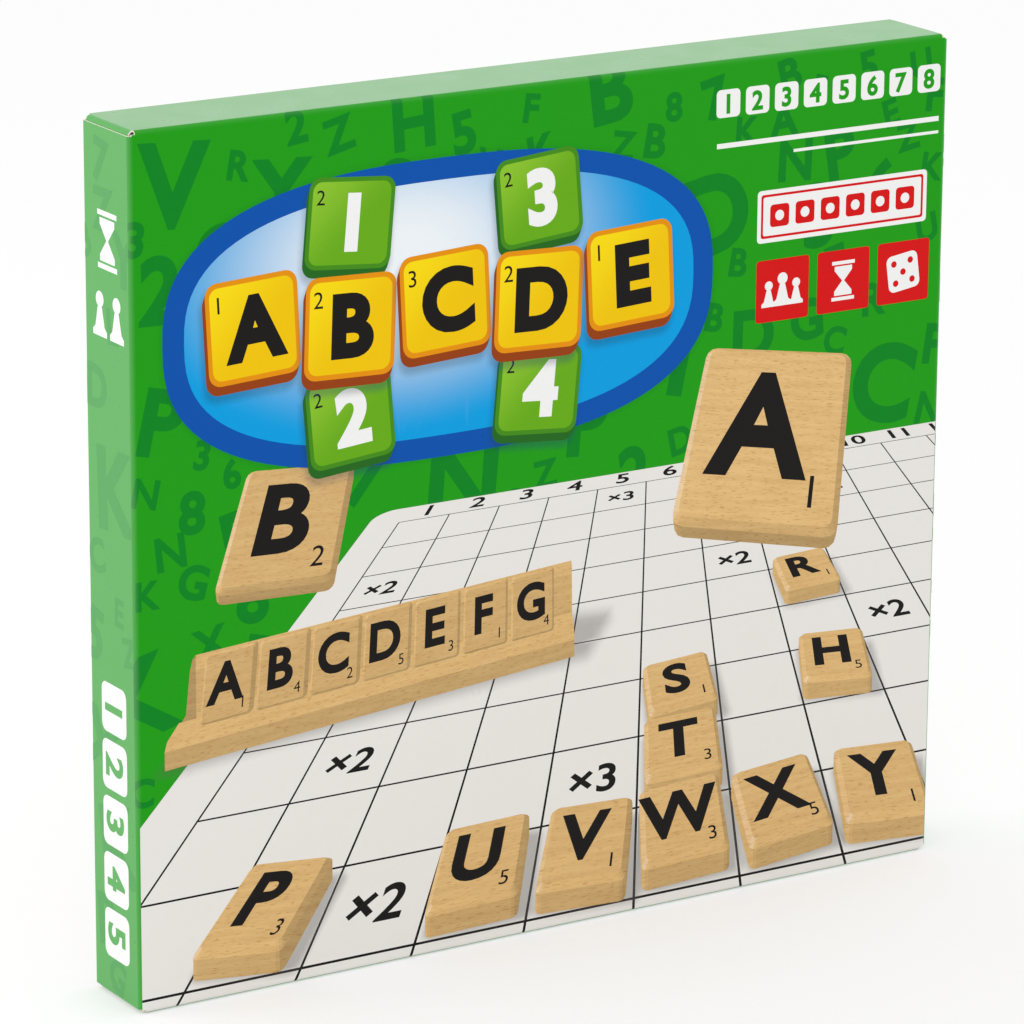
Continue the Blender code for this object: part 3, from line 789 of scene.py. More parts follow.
class Print:
    """Shapes painted one over another on one face."""

    def __init__(self, outline, colour):
        self.layers = []
        self.points = []
        self.creases = []
        self.paint([outline], colour)

    def paint(self, rings, colour, grain=None):
        """Paints the inside of some outlines. The colour and the grain may depend on the point."""
        self.layers.append((rings, colour, grain))

    def refine(self, ring, spacing):
        """Adds points inside a convex outline, so that a shaded colour can change there."""
        outline = ring if signed_area(ring) > 0 else ring[::-1]
        low, high = np.min(ring, axis=0), np.max(ring, axis=0)
        across, up = (np.arange(start + spacing / 2, end, spacing) for start, end in zip(low, high))
        spots = np.array(list(product(across, up)))
        if len(spots):
            self.points.extend(map(tuple, spots[outside_distance(outline, spots) < -spacing / 4]))

    def mesh(self, name, material, place):
        """Cuts the layers into one sheet of triangles, each with the ink and the grain of what is on top."""
        points = []
        edges = []
        for rings, _, _ in self.layers:
            for ring in rings:
                first = len(points)
                edges.extend((first + step, first + (step + 1) % len(ring)) for step in range(len(ring)))
                points.extend(ring)
        for crease in self.creases:
            edges.append((len(points), len(points) + 1))
            points.extend(crease)
        points.extend(self.points)
        flat = [Vector(point) for point in points]
        verts, _, cells, _, _, _ = delaunay_2d_cdt(flat, edges, [], 0, CLOSE, False)
        spots = np.array(verts)
        cells = np.array(cells)
        middles = spots[cells].mean(axis=1)
        corners = spots[cells].reshape(-1, 2)
        colours = np.zeros((len(corners), 3))
        grains = np.zeros((len(corners), 3))
        shown = np.zeros(len(cells), bool)
        for number, (rings, paint, lay) in enumerate(self.layers):
            covered = within(rings, middles)
            if number == 0:
                domain = covered
            shown = shown | (covered & (paint is not None))
            where = np.repeat(covered & domain, 3)
            if paint is None or not where.any():
                continue
            spread = corners[where]
            if callable(paint):
                painted = paint(spread)
                colours[where] += (painted[:, :3] - colours[where]) * painted[:, 3:]
            else:
                colours[where] = paint
                grains[where] = lay(spread) if lay else 0
        kept = cells[shown & domain]
        wanted = np.repeat(shown & domain, 3)
        used, faces = np.unique(kept, return_inverse=True)
        mesh = bpy.data.meshes.new(name)
        mesh.from_pydata([place(*spots[index]) for index in used], [], faces.reshape(-1, 3).tolist())
        inks = mesh.color_attributes.new("ink", "FLOAT_COLOR", "CORNER")
        inks.data.foreach_set("color", np.hstack([colours[wanted], np.ones((len(faces.ravel()), 1))]).ravel())
        lies = mesh.attributes.new("grain", "FLOAT_VECTOR", "CORNER")
        lies.data.foreach_set("vector", grains[wanted].ravel())
        mesh.materials.append(material)
        mesh.update()
        return mesh


def within(rings, spots):
    """Whether outlines wind round each of many points. An inner outline runs the other way."""
    starts = np.array([point for ring in rings for point in ring])
    ends = np.array([point for ring in rings for point in ring[1:] + ring[:1]])
    low, high = starts.min(axis=0), starts.max(axis=0)
    near = np.flatnonzero(((spots >= low) & (spots <= high)).all(axis=1))
    found = np.zeros(len(spots), bool)
    if len(near):
        x, y = spots[near, 0:1], spots[near, 1:2]
        passed = (starts[:, 1] > y) != (ends[:, 1] > y)
        climb = np.where(ends[:, 1] == starts[:, 1], 1, ends[:, 1] - starts[:, 1])
        crossing = starts[:, 0] + (y - starts[:, 1]) * (ends[:, 0] - starts[:, 0]) / climb
        found[near] = (passed & (x < crossing)) @ np.sign(climb) != 0
    return found


def outside_distance(ring, spots):
    """How far points lie outside a convex outline, or below zero inside it."""
    starts = np.array(ring)
    sides = np.roll(starts, -1, axis=0) - starts
    lengths = np.hypot(sides[:, 0], sides[:, 1])
    starts, sides = starts[lengths > CLOSE], sides[lengths > CLOSE]
    sides = sides / lengths[lengths > CLOSE][:, None]
    spots = np.atleast_2d(spots)
    along = spots[:, None, :] - starts
    return (sides[:, 1] * along[:, :, 0] - sides[:, 0] * along[:, :, 1]).max(axis=1)


def soften(sheet, ring, blur, strength, colour=SHADE):
    """A soft shadow: full inside an outline, and gone a blur away from it."""
    outline = ring if signed_area(ring) > 0 else ring[::-1]
    reach = grown(outline, blur)

    def shade(spots):
        fading = smooth(-blur * SOFT_CORE_SHARE, blur, outside_distance(outline, spots))
        share = strength * (1 - fading)
        return blended(colour, colour, share, share)

    sheet.paint([reach], shade)
    sheet.refine(reach, max(blur / SOFT_STEPS, SOFT_SPACING))


# The picture of a game


def seen(point):
    """Where a point of the picture's scene, in millimetres with Y away from the eye, shows on the lid."""
    size = FOCUS / (FOCUS + point[1])
    return (
        VANISHING[0] + (point[0] - VANISHING[0]) * size,
        VANISHING[1] - (LENS_HEIGHT - point[2]) * size,
    )


def shadow_spot(point):
    """Where the shadow of a point of the scene shows on its board."""
    return seen(point + SHADOW_FALL * point.z)


def square_middle(column, row):
    return (
        PICTURE_LEFT + PICTURE_MARGIN + (column + 0.5) * SQUARE,
        -PICTURE_MARGIN - (row + 0.5) * SQUARE,
        0,
    )


def lit(colour, normal):
    """A colour under the picture's light, with a highlight on an edge that faces it."""
    low, high, gloss = LIT_SHARES
    facing = max(normal.dot(LIGHT), 0)
    share = low + high * facing
    highlight = gloss * facing**20
    return tuple(value * share + (1 - value * share) * highlight for value in colour)


def grain_of(frame_matrix, start, along, across, offset):
    """Grain that follows two directions of a flat face in the picture, as an even map of the lid."""
    origin, first, second = (Vector(seen(frame_matrix @ Vector(point))) for point in (start, along, across))
    size = ((Vector(along) - Vector(start)).length, (Vector(across) - Vector(start)).length)
    basis = Matrix(((first.x - origin.x, second.x - origin.x), (first.y - origin.y, second.y - origin.y)))
    turned = np.array(basis.inverted_safe())

    def grain(spots):
        local = (spots - np.array(origin)) @ turned.T
        lies = local * np.array(size) * offset[2] + np.array(offset[:2])
        return np.hstack([lies, np.ones((len(spots), 1))])

    return grain


def cast_shadow(sheet, frame_matrix, points, blur, strength):
    """The soft shadow that some points of a solid throw on the board of the picture."""
    ground = [shadow_spot(frame_matrix @ Vector(point)) for point in points]
    hull = [ground[index] for index in convex_hull_2d([Vector(point) for point in ground])]
    soften(sheet, hull, blur, strength)


def paint_face(sheet, frame_matrix, face, grain):
    """Paints one wooden face of a solid, if it shows."""
    world = [frame_matrix @ Vector(point) for point in face]
    flat = [seen(point) for point in world]
    if signed_area(flat) > CLOSE:
        normal = (world[1] - world[0]).cross(world[2] - world[1]).normalized()
        sheet.paint([flat], lit(BEECH_INK, normal), grain)


def paint_tile(sheet, frame_matrix, size, marks, seed, magnify, shadow=None):
    """A wooden tile in the picture, lying on z = 0 of its own frame, with its letter and its value."""
    width, depth, thickness = size
    radius = width * TILE_ROUND_SHARE
    ease = thickness * TILE_EASE_SHARE
    foot = rounded(width, depth, radius, steps=3)
    head = rounded(width - 2 * ease, depth - 2 * ease, radius * TILE_HEAD_ROUND_SHARE, steps=3)
    rings = [
        [(x, y, 0) for x, y in foot],
        [(x, y, thickness - ease) for x, y in foot],
        [(x, y, thickness) for x, y in head],
    ]
    if shadow:
        cast_shadow(sheet, frame_matrix, rings[0] + rings[1], *shadow)
    chance = random.Random(seed)
    offset = (chance.uniform(0, GRAIN_FIELD), chance.uniform(0, GRAIN_FIELD), magnify)
    grain = grain_of(frame_matrix, (0, 0, thickness), (1, 0, thickness), (0, 1, thickness), offset)
    for lower, upper in zip(rings, rings[1:]):
        for here in range(len(lower)):
            after = (here + 1) % len(lower)
            paint_face(sheet, frame_matrix, [lower[here], lower[after], upper[after], upper[here]], grain)
    paint_face(sheet, frame_matrix, rings[-1], grain)
    letter, value = marks
    text = set_in(letter, BOLD, width, depth, LETTER_SHARES)
    text += set_in(str(value), 0.0, width, depth, VALUE_SHARES)
    sheet.paint([[seen(frame_matrix @ Vector((x, y, thickness))) for x, y in ring] for ring in text], BLACK)


def on_board(ring, up=0):
    """An outline on the picture's board, as it shows."""
    return [seen((x, y, up)) for x, y in ring]


def paint_board(sheet):
    """The playing board of the picture: a pale sheet with a ruled grid, numbers and multiplier marks."""
    left = PICTURE_LEFT
    right = left + SQUARES * SQUARE + 2 * PICTURE_MARGIN
    near = -PICTURE_MARGIN - ROWS_SHOWN * SQUARE
    radius = PICTURE_RADIUS
    turns = [step * pi / 12 for step in range(7)]
    corner = [(left + radius - radius * cos(turn), -radius + radius * sin(turn)) for turn in turns]
    outline = [(right, near), (right, 0)] + corner[::-1] + [(left, near)]
    edge = on_board(outline, -PICTURE_EDGE)
    soften(sheet, edge, *PICTURE_SHADOW)
    sheet.paint([edge], PAPER_EDGE)
    sheet.paint([on_board(outline)], PAPER)
    inner_left = left + PICTURE_MARGIN
    for column in range(SQUARES + 1):
        x = inner_left + column * SQUARE
        line = rectangle(x - GRID_LINE / 2, near, x + GRID_LINE / 2, -PICTURE_MARGIN)
        sheet.paint([on_board(line)], BLACK)
    for row in range(ceil(ROWS_SHOWN)):
        y = -PICTURE_MARGIN - row * SQUARE
        line = rectangle(inner_left, y - GRID_LINE / 2, inner_left + SQUARES * SQUARE, y + GRID_LINE / 2)
        sheet.paint([on_board(line)], BLACK)
    for column in range(NUMBERS_SHOWN):
        paint_mark(sheet, str(column + 1), square_middle(column, PICTURE_NUMBER_ROW), PICTURE_NUMBER_HEIGHT)
    for number, (column, row) in enumerate(PICTURE_MARKS):
        paint_mark(sheet, ("×2", "×3")[number % 2], square_middle(column, row), PICTURE_MARK_HEIGHT)


def paint_mark(sheet, text, middle, height):
    sheet.paint([on_board(ring) for ring in centred(text, MARK_BOLD, middle, height)], BLACK)


def paint_rack(sheet):
    """The rack of the picture, its ledge towards the eye, with tiles standing on it."""
    frame_matrix = (
        Matrix.Translation(RACK_PLACE)
        @ Matrix.Rotation(radians(RACK_TURN), 4, "Z")
        @ Matrix.Scale(RACK_SHARE, 4)
    )
    left = [(-RACK_LENGTH / 2, y, z) for y, z in RACK_PROFILE]
    right = [(RACK_LENGTH / 2, y, z) for y, z in RACK_PROFILE]
    cast_shadow(sheet, frame_matrix, left + right, *RACK_SHADOW)
    faces = []
    for here in range(len(left)):
        after = (here + 1) % len(left)
        faces.append([left[here], right[here], right[after], left[after]])
    faces.append(right)
    faces.append(left[::-1])
    grain = grain_of(frame_matrix, *RACK_GRAIN_AXES, RACK_GRAIN)
    faces.sort(key=lambda face: -sum(point[1] for point in face) / len(face))
    for face in faces:
        paint_face(sheet, frame_matrix, face, grain)
    letters = LETTERS[:7]
    pitch = RACK_LENGTH * RACK_FILL_SHARE / (len(letters) + RACK_SPARE_SHARE)
    size = (*(pitch * share for share in RACK_TILE_SHARES), RACK_TILE_THICKNESS)
    lean = Euler((radians(RACK_LEAN), 0, 0)).to_matrix().to_4x4()
    for number, letter in enumerate(letters):
        x = (number - (len(letters) - 1) / 2) * pitch
        spot = frame_matrix @ Matrix.Translation((x, *RACK_SEAT)) @ lean
        marks = (letter, 1 + number * 3 % 5)
        paint_tile(sheet, spot, size, marks, RACK_TILE_SEED + number, RACK_TILE_GRAIN)


# Flat art on the lid


def badge(sheet, centre, size, turn, colours, text, value):
    """A bright tile of the title plate: a thick rim, a lit face, a character and a small number."""
    side, rim, face, light, mark = colours
    width, height = size
    drop = Vector((width * BADGE_DROP_SHARES[0], height * BADGE_DROP_SHARES[1]))
    body = placed([rounded(width, height, width * BADGE_ROUND_SHARE)], centre, turn=turn)[0]
    moved = [(x + drop.x, y + drop.y) for x, y in body]
    hull_points = [Vector(point) for point in body + moved]
    thick = [tuple(hull_points[index]) for index in convex_hull_2d(hull_points)]
    across, up = BADGE_SHADOW_SHARES
    soften(sheet, [(x + drop.x * across, y + drop.y * up) for x, y in thick], *BADGE_SHADOW, BLUE_SHADE)
    sheet.paint([thick], side)
    sheet.paint([body], rim)
    across, up, round_share = BADGE_FACE_SHARES
    front = placed([rounded(width * across, height * up, width * round_share)], centre, turn=turn)[0]

    def shine(spots):
        along = ((spots[:, 0] - centre[0]) / width - (spots[:, 1] - centre[1]) / height) / 2
        return blended(light, face, smooth(*BADGE_SHINE_SHARES, along))

    sheet.paint([front], shine)
    sheet.refine(front, BADGE_SPACING)
    big = set_in(text, BADGE_BOLD, width, height, BADGE_LETTER_SHARES)
    small = set_in(str(value), 0.0, width, height, BADGE_VALUE_SHARES)
    sheet.paint(placed(big, centre, turn=turn), mark)
    sheet.paint(placed(small, centre, turn=turn), BLACK)


def paint_plate(sheet):
    """The title plate: a blue rim round a sky, with bright tiles on it."""
    x, y = PLATE_MIDDLE
    outer = placed([pillow(*PLATE_HALF)], PLATE_MIDDLE)[0]
    inner = placed([pillow(*SKY_HALF)], PLATE_MIDDLE)[0]
    soften(sheet, outer, *PLATE_SHADOW, GREEN_SHADE)
    sheet.paint([outer], RING_BLUE)

    def sky(spots):
        across, up = ((spots - PLATE_MIDDLE - SKY_GLOW) / SKY_REACH).T
        return blended(SKY_WHITE, SKY_BLUE, smooth(*SKY_SHARES, np.hypot(across, up)))

    sheet.paint([inner], sky)
    sheet.refine(inner, SKY_SPACING)
    pitch_x, pitch_y = BADGE_PITCHES
    yellow = (BROWN, ORANGE, YELLOW, YELLOW_LIGHT, BLACK)
    green = (LEAF_SIDE, LEAF_RIM, LEAF, LEAF_LIGHT, WHITE)
    for number, (column, row) in enumerate(product((-1, 1), (1, -1))):
        place = (x + column * pitch_x, y + row * pitch_y)
        turn = radians(column * row * GREEN_TURN)
        badge(sheet, place, GREEN_BADGE, turn, green, str(number + 1), GREEN_VALUE)
    for number, value in enumerate(YELLOW_VALUES):
        turn, rise = YELLOW_LIES[number % 2]
        place = (x + (number - 2) * pitch_x, y + rise)
        badge(sheet, place, YELLOW_BADGE, radians(turn), yellow, LETTERS[number], value)


def scatter_ghosts(sheet, field, tries, colour):
    """Plain characters scattered over a part of the ground colour, a little darker than it."""
    chance = random.Random(SEED)
    kept = []
    for _ in range(tries):
        size = chance.choice(GHOST_SIZES)
        spot = (chance.uniform(field[0], field[2]), chance.uniform(field[1], field[3]))
        if all(hypot(spot[0] - x, spot[1] - y) > (size + other) * GHOST_SPACE_SHARE for x, y, other in kept):
            kept.append((*spot, size))
    for x, y, size in kept:
        text = chance.choice(GHOSTS)
        turn = radians(chance.uniform(-GHOST_TURN, GHOST_TURN))
        sheet.paint(placed(placed(text_outlines(text), (0, -0.5)), (x, y), size, turn), colour)


def pawn(centre, height):
    return placed([disc(*PAWN_HEAD), PAWN_BODY], (centre[0], centre[1] - height / 2), height)


def hourglass(centre, height):
    shapes = [rectangle(*rim) for rim in GLASS_RIMS]
    return placed([*shapes, GLASS], (centre[0], centre[1] - height / 2), height)


def paint_rounded(sheet, size, steps, centre, colour, turn=0):
    """A rounded square of one colour."""
    sheet.paint(placed([rounded(*size, steps)], centre, turn=turn), colour)


def paint_chip(sheet, centre, size, turn, text, ground):
    """A white square with a plain character left open in it, where a box has a letter of its wording."""
    paint_rounded(sheet, (size, size, size * CHIP_ROUND_SHARE), 4, centre, WHITE, turn)
    sheet.paint(placed(set_in(text, BOLD, size, size, CHIP_SHARES), centre, turn=turn), ground)


def paint_pawns(sheet, centre):
    tallest = max(tall for _, tall in PAWNS)
    for offset, tall in PAWNS:
        middle = (centre[0] + offset, centre[1] - (tallest - tall) / 2 + PAWN_RISE)
        sheet.paint(pawn(middle, tall), WHITE)


def paint_hourglass(sheet, centre):
    sheet.paint(hourglass(centre, GLASS_HEIGHT), WHITE)


def paint_die(sheet, centre):
    turn = radians(DIE_TURN)
    paint_rounded(sheet, DIE, 4, centre, WHITE, turn)
    for spot in DIE_SPOTS:
        sheet.paint(placed([disc(DIE_SPOT_RADIUS, spot, 14)], centre, turn=turn), RED)


def paint_icons(sheet):
    """Plain pictures on red squares, and white rules and outlines where a box has its wording."""
    x, y = ICON_START
    for number, paint_picture in enumerate((paint_pawns, paint_hourglass, paint_die)):
        centre = (x + number * ICON_PITCH, y)
        paint_rounded(sheet, ICON, 2, centre, RED)
        paint_picture(sheet, centre)
    for size, colour in zip(LABEL_FRAMES, (WHITE, RED, WHITE)):
        paint_rounded(sheet, size, 3, LABEL_MIDDLE, colour)
    x, y = LABEL_MIDDLE
    for number in range(LABEL_DOTS):
        spot = (x + (number - (LABEL_DOTS - 1) / 2) * LABEL_PITCH, y)
        paint_rounded(sheet, LABEL_SQUARE, 3, spot, RED)
        sheet.paint(placed([disc(LABEL_DOT_RADIUS)], spot), WHITE)
    x, y = CHIP_START
    for number in range(CHIPS):
        paint_chip(sheet, (x + number * CHIP_PITCH, y), CHIP_SIZE, 0, str(number + 1), GREEN)
    for rule in RULES:
        sheet.paint([rectangle(*rule)], WHITE)


def tilted(place, turns):
    """A frame for a tile that floats in the picture."""
    return Matrix.Translation(place) @ Euler([radians(turn) for turn in turns]).to_matrix().to_4x4()


def paint_rims(sheet, across):
    """The ground colour where the picture stops short of the left, the bottom and the right fold."""
    left, bottom, right = RIMS
    left_top = VANISHING[1] - LENS_HEIGHT * (VANISHING[0] - left) / (VANISHING[0] - PICTURE_LEFT)
    sheet.paint([rectangle(-BEYOND, -BEYOND, left, left_top)], GREEN)
    sheet.paint([rectangle(-BEYOND, -BEYOND, across + BEYOND, bottom)], GREEN)
    sheet.paint([rectangle(across - right, -BEYOND, across + BEYOND, VANISHING[1] - LENS_HEIGHT)], GREEN)


def paint_game(sheet, across):
    """The board of the picture with what lies on it and floats over it."""
    paint_board(sheet)
    chance = random.Random(SEED)
    for number, (column, row, letter) in enumerate(LYING):
        stray_x = chance.uniform(-LYING_STRAY, LYING_STRAY)
        stray_y = chance.uniform(-LYING_STRAY, LYING_STRAY)
        turn = radians(chance.uniform(-LYING_TURN, LYING_TURN))
        middle = Vector(square_middle(column, row)) + Vector((stray_x, stray_y, 0))
        spot = Matrix.Translation(middle) @ Matrix.Rotation(turn, 4, "Z")
        paint_tile(sheet, spot, LYING_SIZE, (letter, 1 + number * 2 % 6), number, LYING_GRAIN, LYING_SHADOW)
    paint_rack(sheet)
    for place, turns, size, marks, seed, magnify in FLOATING:
        paint_tile(sheet, tilted(place, turns), size, marks, seed, magnify)
    paint_rims(sheet, across)


# The lid


def bent(reach, flat, radius):
    """How far out and how far back a point of the print lies, a given way from the panel's middle."""
    beyond = abs(reach) - flat
    if beyond <= 0:
        return reach, 0.0
    angle = min(beyond / radius, pi / 2)
    return copysign(flat + radius * sin(angle), reach), radius * (1 - cos(angle))


def paler(axis, edge, inward, share, reach):
    """A painted highlight: ink that gets paler towards one edge of a panel."""

    def pale(spots):
        inside = (spots[:, axis] - edge) * inward
        return blended(WHITE, WHITE, np.zeros(len(spots)), share * (1 - smooth(0, reach, inside)))

    return pale


def paint_worn_folds(sheet, across, up, reach):
    """Paints a highlight on the folds at the left, the right and the top of the panel, as ink a little paler
    there.
    """
    side, top = FOLD_HIGHLIGHT_SHARES
    for axis, edge, inward, share in ((0, 0, 1, side), (0, across, -1, side), (1, up, -1, top)):
        low = [-BEYOND, -BEYOND]
        high = [across + BEYOND, up + BEYOND]
        limit = high if inward > 0 else low
        limit[axis] = edge + inward * reach
        sheet.paint([rectangle(*low, *high)], paler(axis, edge, inward, share, reach))


def make_lid(printed, boards):
    low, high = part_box("lid_carton")
    width, height = high.x - low.x, high.z - low.z
    middle = ((low.x + high.x) / 2, low.y, (low.z + high.z) / 2)
    # The shell's walls carry the wall green, with painted sheen in it
    carton = folded_carton("lid_shell", low, high, (printed, *boards), WALL_GREEN_WITH_PAINTED_SHEEN)
    boarded(show("lid_shell", carton, "lid", ["lid_carton"], middle))
    radius = FOLD_RADIUS + CARTON_THICKNESS / 2 + INK_LIFT
    flat_x = width / 2 + INK_LIFT - radius
    flat_z = height / 2 + INK_LIFT - radius
    end_wall_x = width / 2 - CARTON_THICKNESS / 2 - ROLL_RADIUS - EAR_RADIUS
    side_wall_z = height / 2 - CARTON_THICKNESS / 2 - EAR_RADIUS
    far_x = flat_x + radius * pi / 2
    far_z = flat_z + radius * pi / 2
    notch = [
        (far_x, side_wall_z),
        (flat_x, side_wall_z),
        (flat_x, flat_z),
        (end_wall_x, flat_z),
        (end_wall_x, far_z),
    ]
    quarters = (((1, 1), notch), ((-1, 1), notch[::-1]), ((-1, -1), notch), ((1, -1), notch[::-1]))
    cross = [(side_x * x, side_z * z) for (side_x, side_z), pairs in quarters for x, z in pairs]

    def place(across, up):
        x, back_x = bent(across * MM - width / 2, flat_x, radius)
        z, back_z = bent(up * MM - height / 2, flat_z, radius)
        return (x, low.y - INK_LIFT + back_x + back_z, z + middle[2])

    to_print = [((x + width / 2) / MM, (z + height / 2) / MM) for x, z in cross]
    sheet = Print(to_print, GREEN)
    across = width / MM
    up = height / MM
    left, foot, right, top = GHOST_MARGINS
    scatter_ghosts(sheet, (left, foot, across - right, up - top), GHOST_TRIES, GHOST_GREEN)
    paint_game(sheet, across)
    paint_plate(sheet)
    paint_icons(sheet)
    # Painted highlights along the folds, as paler ink
    paint_worn_folds(sheet, across, up, FOLD_HIGHLIGHT_REACH_SHARE * (width / 2 - flat_x) / MM)
    for side, step in product((-1, 1), range(CREASES)):
        beyond = radius * pi / 2 * step / CREASES
        x = across / 2 + side * (flat_x + beyond) / MM
        y = up / 2 + side * (flat_z + beyond) / MM
        sheet.creases.append(((x, -BEYOND), (x, up + BEYOND)))
        sheet.creases.append(((-BEYOND, y), (across + BEYOND, y)))
    mesh = sheet.mesh("lid_front_print", printed, place)
    mesh.shade_smooth()
    weighted(show("lid_front_print", mesh, "lid"))
    for name, side in (("lid_left_marks", -1), ("lid_right_marks", 1)):
        make_wall_marks(name, side, low, high, printed)


def make_wall_marks(name, side, low, high, printed):
    """White squares and plain pictures on a side wall, where a box has its wording."""
    x = (high.x if side > 0 else low.x) + side * INK_LIFT
    depth, height = (high.y - low.y) / MM, (high.z - low.z) / MM
    middle = depth / 2 + WALL_SHIFT
    front, end, behind = WALL_INSETS
    sheet = Print(rectangle(front, end, depth - behind, height - end), None)
    # The wall's ghosts and chips are in the wall greens, with painted sheen in them
    scatter_ghosts(sheet, (0, 0, depth, height), WALL_GHOST_TRIES, WALL_GHOST_GREEN_WITH_PAINTED_SHEEN)
    for number in range(WALL_CHIPS):
        spot = (middle, WALL_CHIP_START + number * WALL_CHIP_PITCH)
        paint_chip(sheet, spot, WALL_CHIP_SIZE, -pi / 2, str(WALL_CHIPS - number), WALL_GREEN_WITH_PAINTED_SHEEN)
    sheet.paint(placed(hourglass((0, 0), WALL_GLASS_HEIGHT), (middle, WALL_GLASS_UP)), WHITE)
    for offset in (-WALL_PAWN_OFFSET, WALL_PAWN_OFFSET):
        sheet.paint(pawn((middle + offset, WALL_PAWN_UP), WALL_PAWN_HEIGHT), WHITE)

    def place(across, up):
        y = low.y + across * MM if side > 0 else high.y - across * MM
        return (x, y, low.z + up * MM)

    show(name, sheet.mesh(name, printed, place), "lid")


# The tray and what lies in it


def make_tray(outside, boards):
    low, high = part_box("tray_carton")
    carton = folded_carton("tray_shell", low, high, (outside, *boards), WHITE)
    place = ((low.x + high.x) / 2, high.y, (low.z + high.z) / 2)
    boarded(show("tray_shell", carton, "tray", ["tray_carton"], place, pi))


def face_of(node_name):
    """The width and the height of a piece's front, and what sets a print down on it."""
    low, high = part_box(node_name)

    def place(across, up):
        return (low.x + across * MM, low.y - INK_LIFT, low.z + up * MM)

    return (high.x - low.x) / MM, (high.z - low.z) / MM, place


def make_board_print(printed):
    """The real playing board's face, with the same kind of grid as the picture."""
    width, height, place = face_of("game_board")
    margin_x, margin_z = BOARD_MARGINS
    pitch_x, pitch_z = (width - 2 * margin_x) / SQUARES, (height - 2 * margin_z) / SQUARES
    face = rounded(width - 2 * BOARD_INSET, height - 2 * BOARD_INSET, BOARD_PRINT_RADIUS, steps=8)
    sheet = Print(placed([face], (width / 2, height / 2))[0], PAPER)
    half = BOARD_LINE / 2
    for number in range(SQUARES + 1):
        x = margin_x + number * pitch_x
        z = margin_z + number * pitch_z
        sheet.paint([rectangle(x - half, margin_z, x + half, height - margin_z)], BLACK)
        sheet.paint([rectangle(margin_x, z - half, width - margin_x, z + half)], BLACK)
    for number in range(SQUARES):
        x = margin_x + (number + 0.5) * pitch_x
        z = margin_z + (SQUARES - 0.5 - number) * pitch_z
        beside, below = margin_x / 2, margin_z / 2
        for spot in ((x, height - below), (x, below), (beside, z), (width - beside, z)):
            sheet.paint(centred(str(number + 1), 0.0, spot, BOARD_NUMBER_HEIGHT), BLACK)
    middle = SQUARES // 2
    for column, row in product(range(SQUARES), range(SQUARES)):
        away = tuple(sorted((abs(column - middle), abs(row - middle))))
        centre = (margin_x + (column + 0.5) * pitch_x, margin_z + (row + 0.5) * pitch_z)
        if away == (0, 0):
            paint_star(sheet, centre)
        elif away in BOARD_MARKS:
            sheet.paint(centred(BOARD_MARKS[away], MARK_BOLD, centre, BOARD_MARK_HEIGHT), BLACK)
    show("board_face_print", sheet.mesh("board_face_print", printed, place), "board")


def paint_star(sheet, centre):
    star = []
    for point in range(10):
        radius = STAR_RADII[point % 2]
        angle = point * pi / 5
        star.append((radius * sin(angle), radius * cos(angle)))
    sheet.paint(placed([star], centre), BLACK)


def make_leaflet_print(printed):
    """Grey bars for the rules' lines, and a diagram of crossing rows of tiles."""
    width, height, place = face_of("rules_leaflet")
    inset, right_inset = LEAFLET_INSETS
    sheet = Print(rectangle(inset, inset, width - right_inset, height - inset), LEAFLET_WHITE)
    gap, foot, head = LEAFLET_TITLE
    sheet.paint([rectangle(LEAFLET_MARGIN, height - foot, width - gap, height - head)], GREEN)
    chance = random.Random(SEED)
    for block, line in product(range(LEAFLET_BLOCKS), range(LEAFLET_LINES)):
        y = height - LEAFLET_BLOCK_DROP - block * LEAFLET_BLOCK_PITCH - line * LEAFLET_LINE_PITCH
        short = chance.uniform(0, LEAFLET_STRAY) if line < LEAFLET_LINES - 1 else LEAFLET_LAST_GAP
        end = width - LEAFLET_MARGIN - short
        sheet.paint([rectangle(LEAFLET_MARGIN, y - LEAFLET_BAR_HALF, end, y + LEAFLET_BAR_HALF)], LINE_GREY)
    columns, rows = DIAGRAM_CELLS
    for column, row in product(range(columns), range(rows)):
        x, y = DIAGRAM_CORNER[0] + column * CELL, DIAGRAM_CORNER[1] + row * CELL
        sheet.paint([rectangle(x, y, x + CELL, y + CELL)], LINE_GREY)
        tile = (row == 2 and 1 < column < 7) or column == 4
        far = CELL - CELL_LINE
        inside = BEECH_INK if tile else PAPER
        sheet.paint([rectangle(x + CELL_LINE, y + CELL_LINE, x + far, y + far)], inside)
        if tile:
            foot, tall = CELL_LETTER
            letter = text_outlines(LETTERS[column + 3 * row])
            sheet.paint(placed(letter, (x + CELL / 2, y + foot), tall), BLACK)
    show("leaflet_print", sheet.mesh("leaflet_print", printed, place), "leaflet")


def tile_value(letter):
    return 1 if letter in "AEIOU" else 2 + LETTERS.index(letter) % 4


def letter_rings(number):
    """A tile's letter and its value, about the middle of its face."""
    letter = LETTERS[number * 7 % len(LETTERS)]
    rings = placed(text_outlines(letter), *TILE_LETTER)
    return rings + placed(text_outlines(str(tile_value(letter)), 0.0), *TILE_VALUE)


def make_letters(printed):
    """Printed letters on the wooden tiles, one sheet of ink for each row and one for the layer behind."""
    for row in range(TILE_ROWS):
        tiles = []
        for column in range(TILE_COLUMNS):
            low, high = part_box(f"tile_{row + 1}_{column + 1}")
            tiles.append((low, high, row * TILE_COLUMNS + column))
        make_ink(f"tile_row_{row + 1}_letters", tiles, f"tile_row_{row + 1}", printed)
    low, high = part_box("back_tiles")
    step_x, step_z = (high.x - low.x) / TILE_COLUMNS, (high.z - low.z) / TILE_ROWS
    tiles = []
    for row, column in product(range(TILE_ROWS), range(TILE_COLUMNS)):
        corner = Vector((low.x + column * step_x, low.y, high.z - (row + 1) * step_z))
        number = (TILE_ROWS + row) * TILE_COLUMNS + column
        tiles.append((corner, corner + Vector((step_x, 0, step_z)), number))
    make_ink("back_tile_letters", tiles, "back_tile_layer", printed)


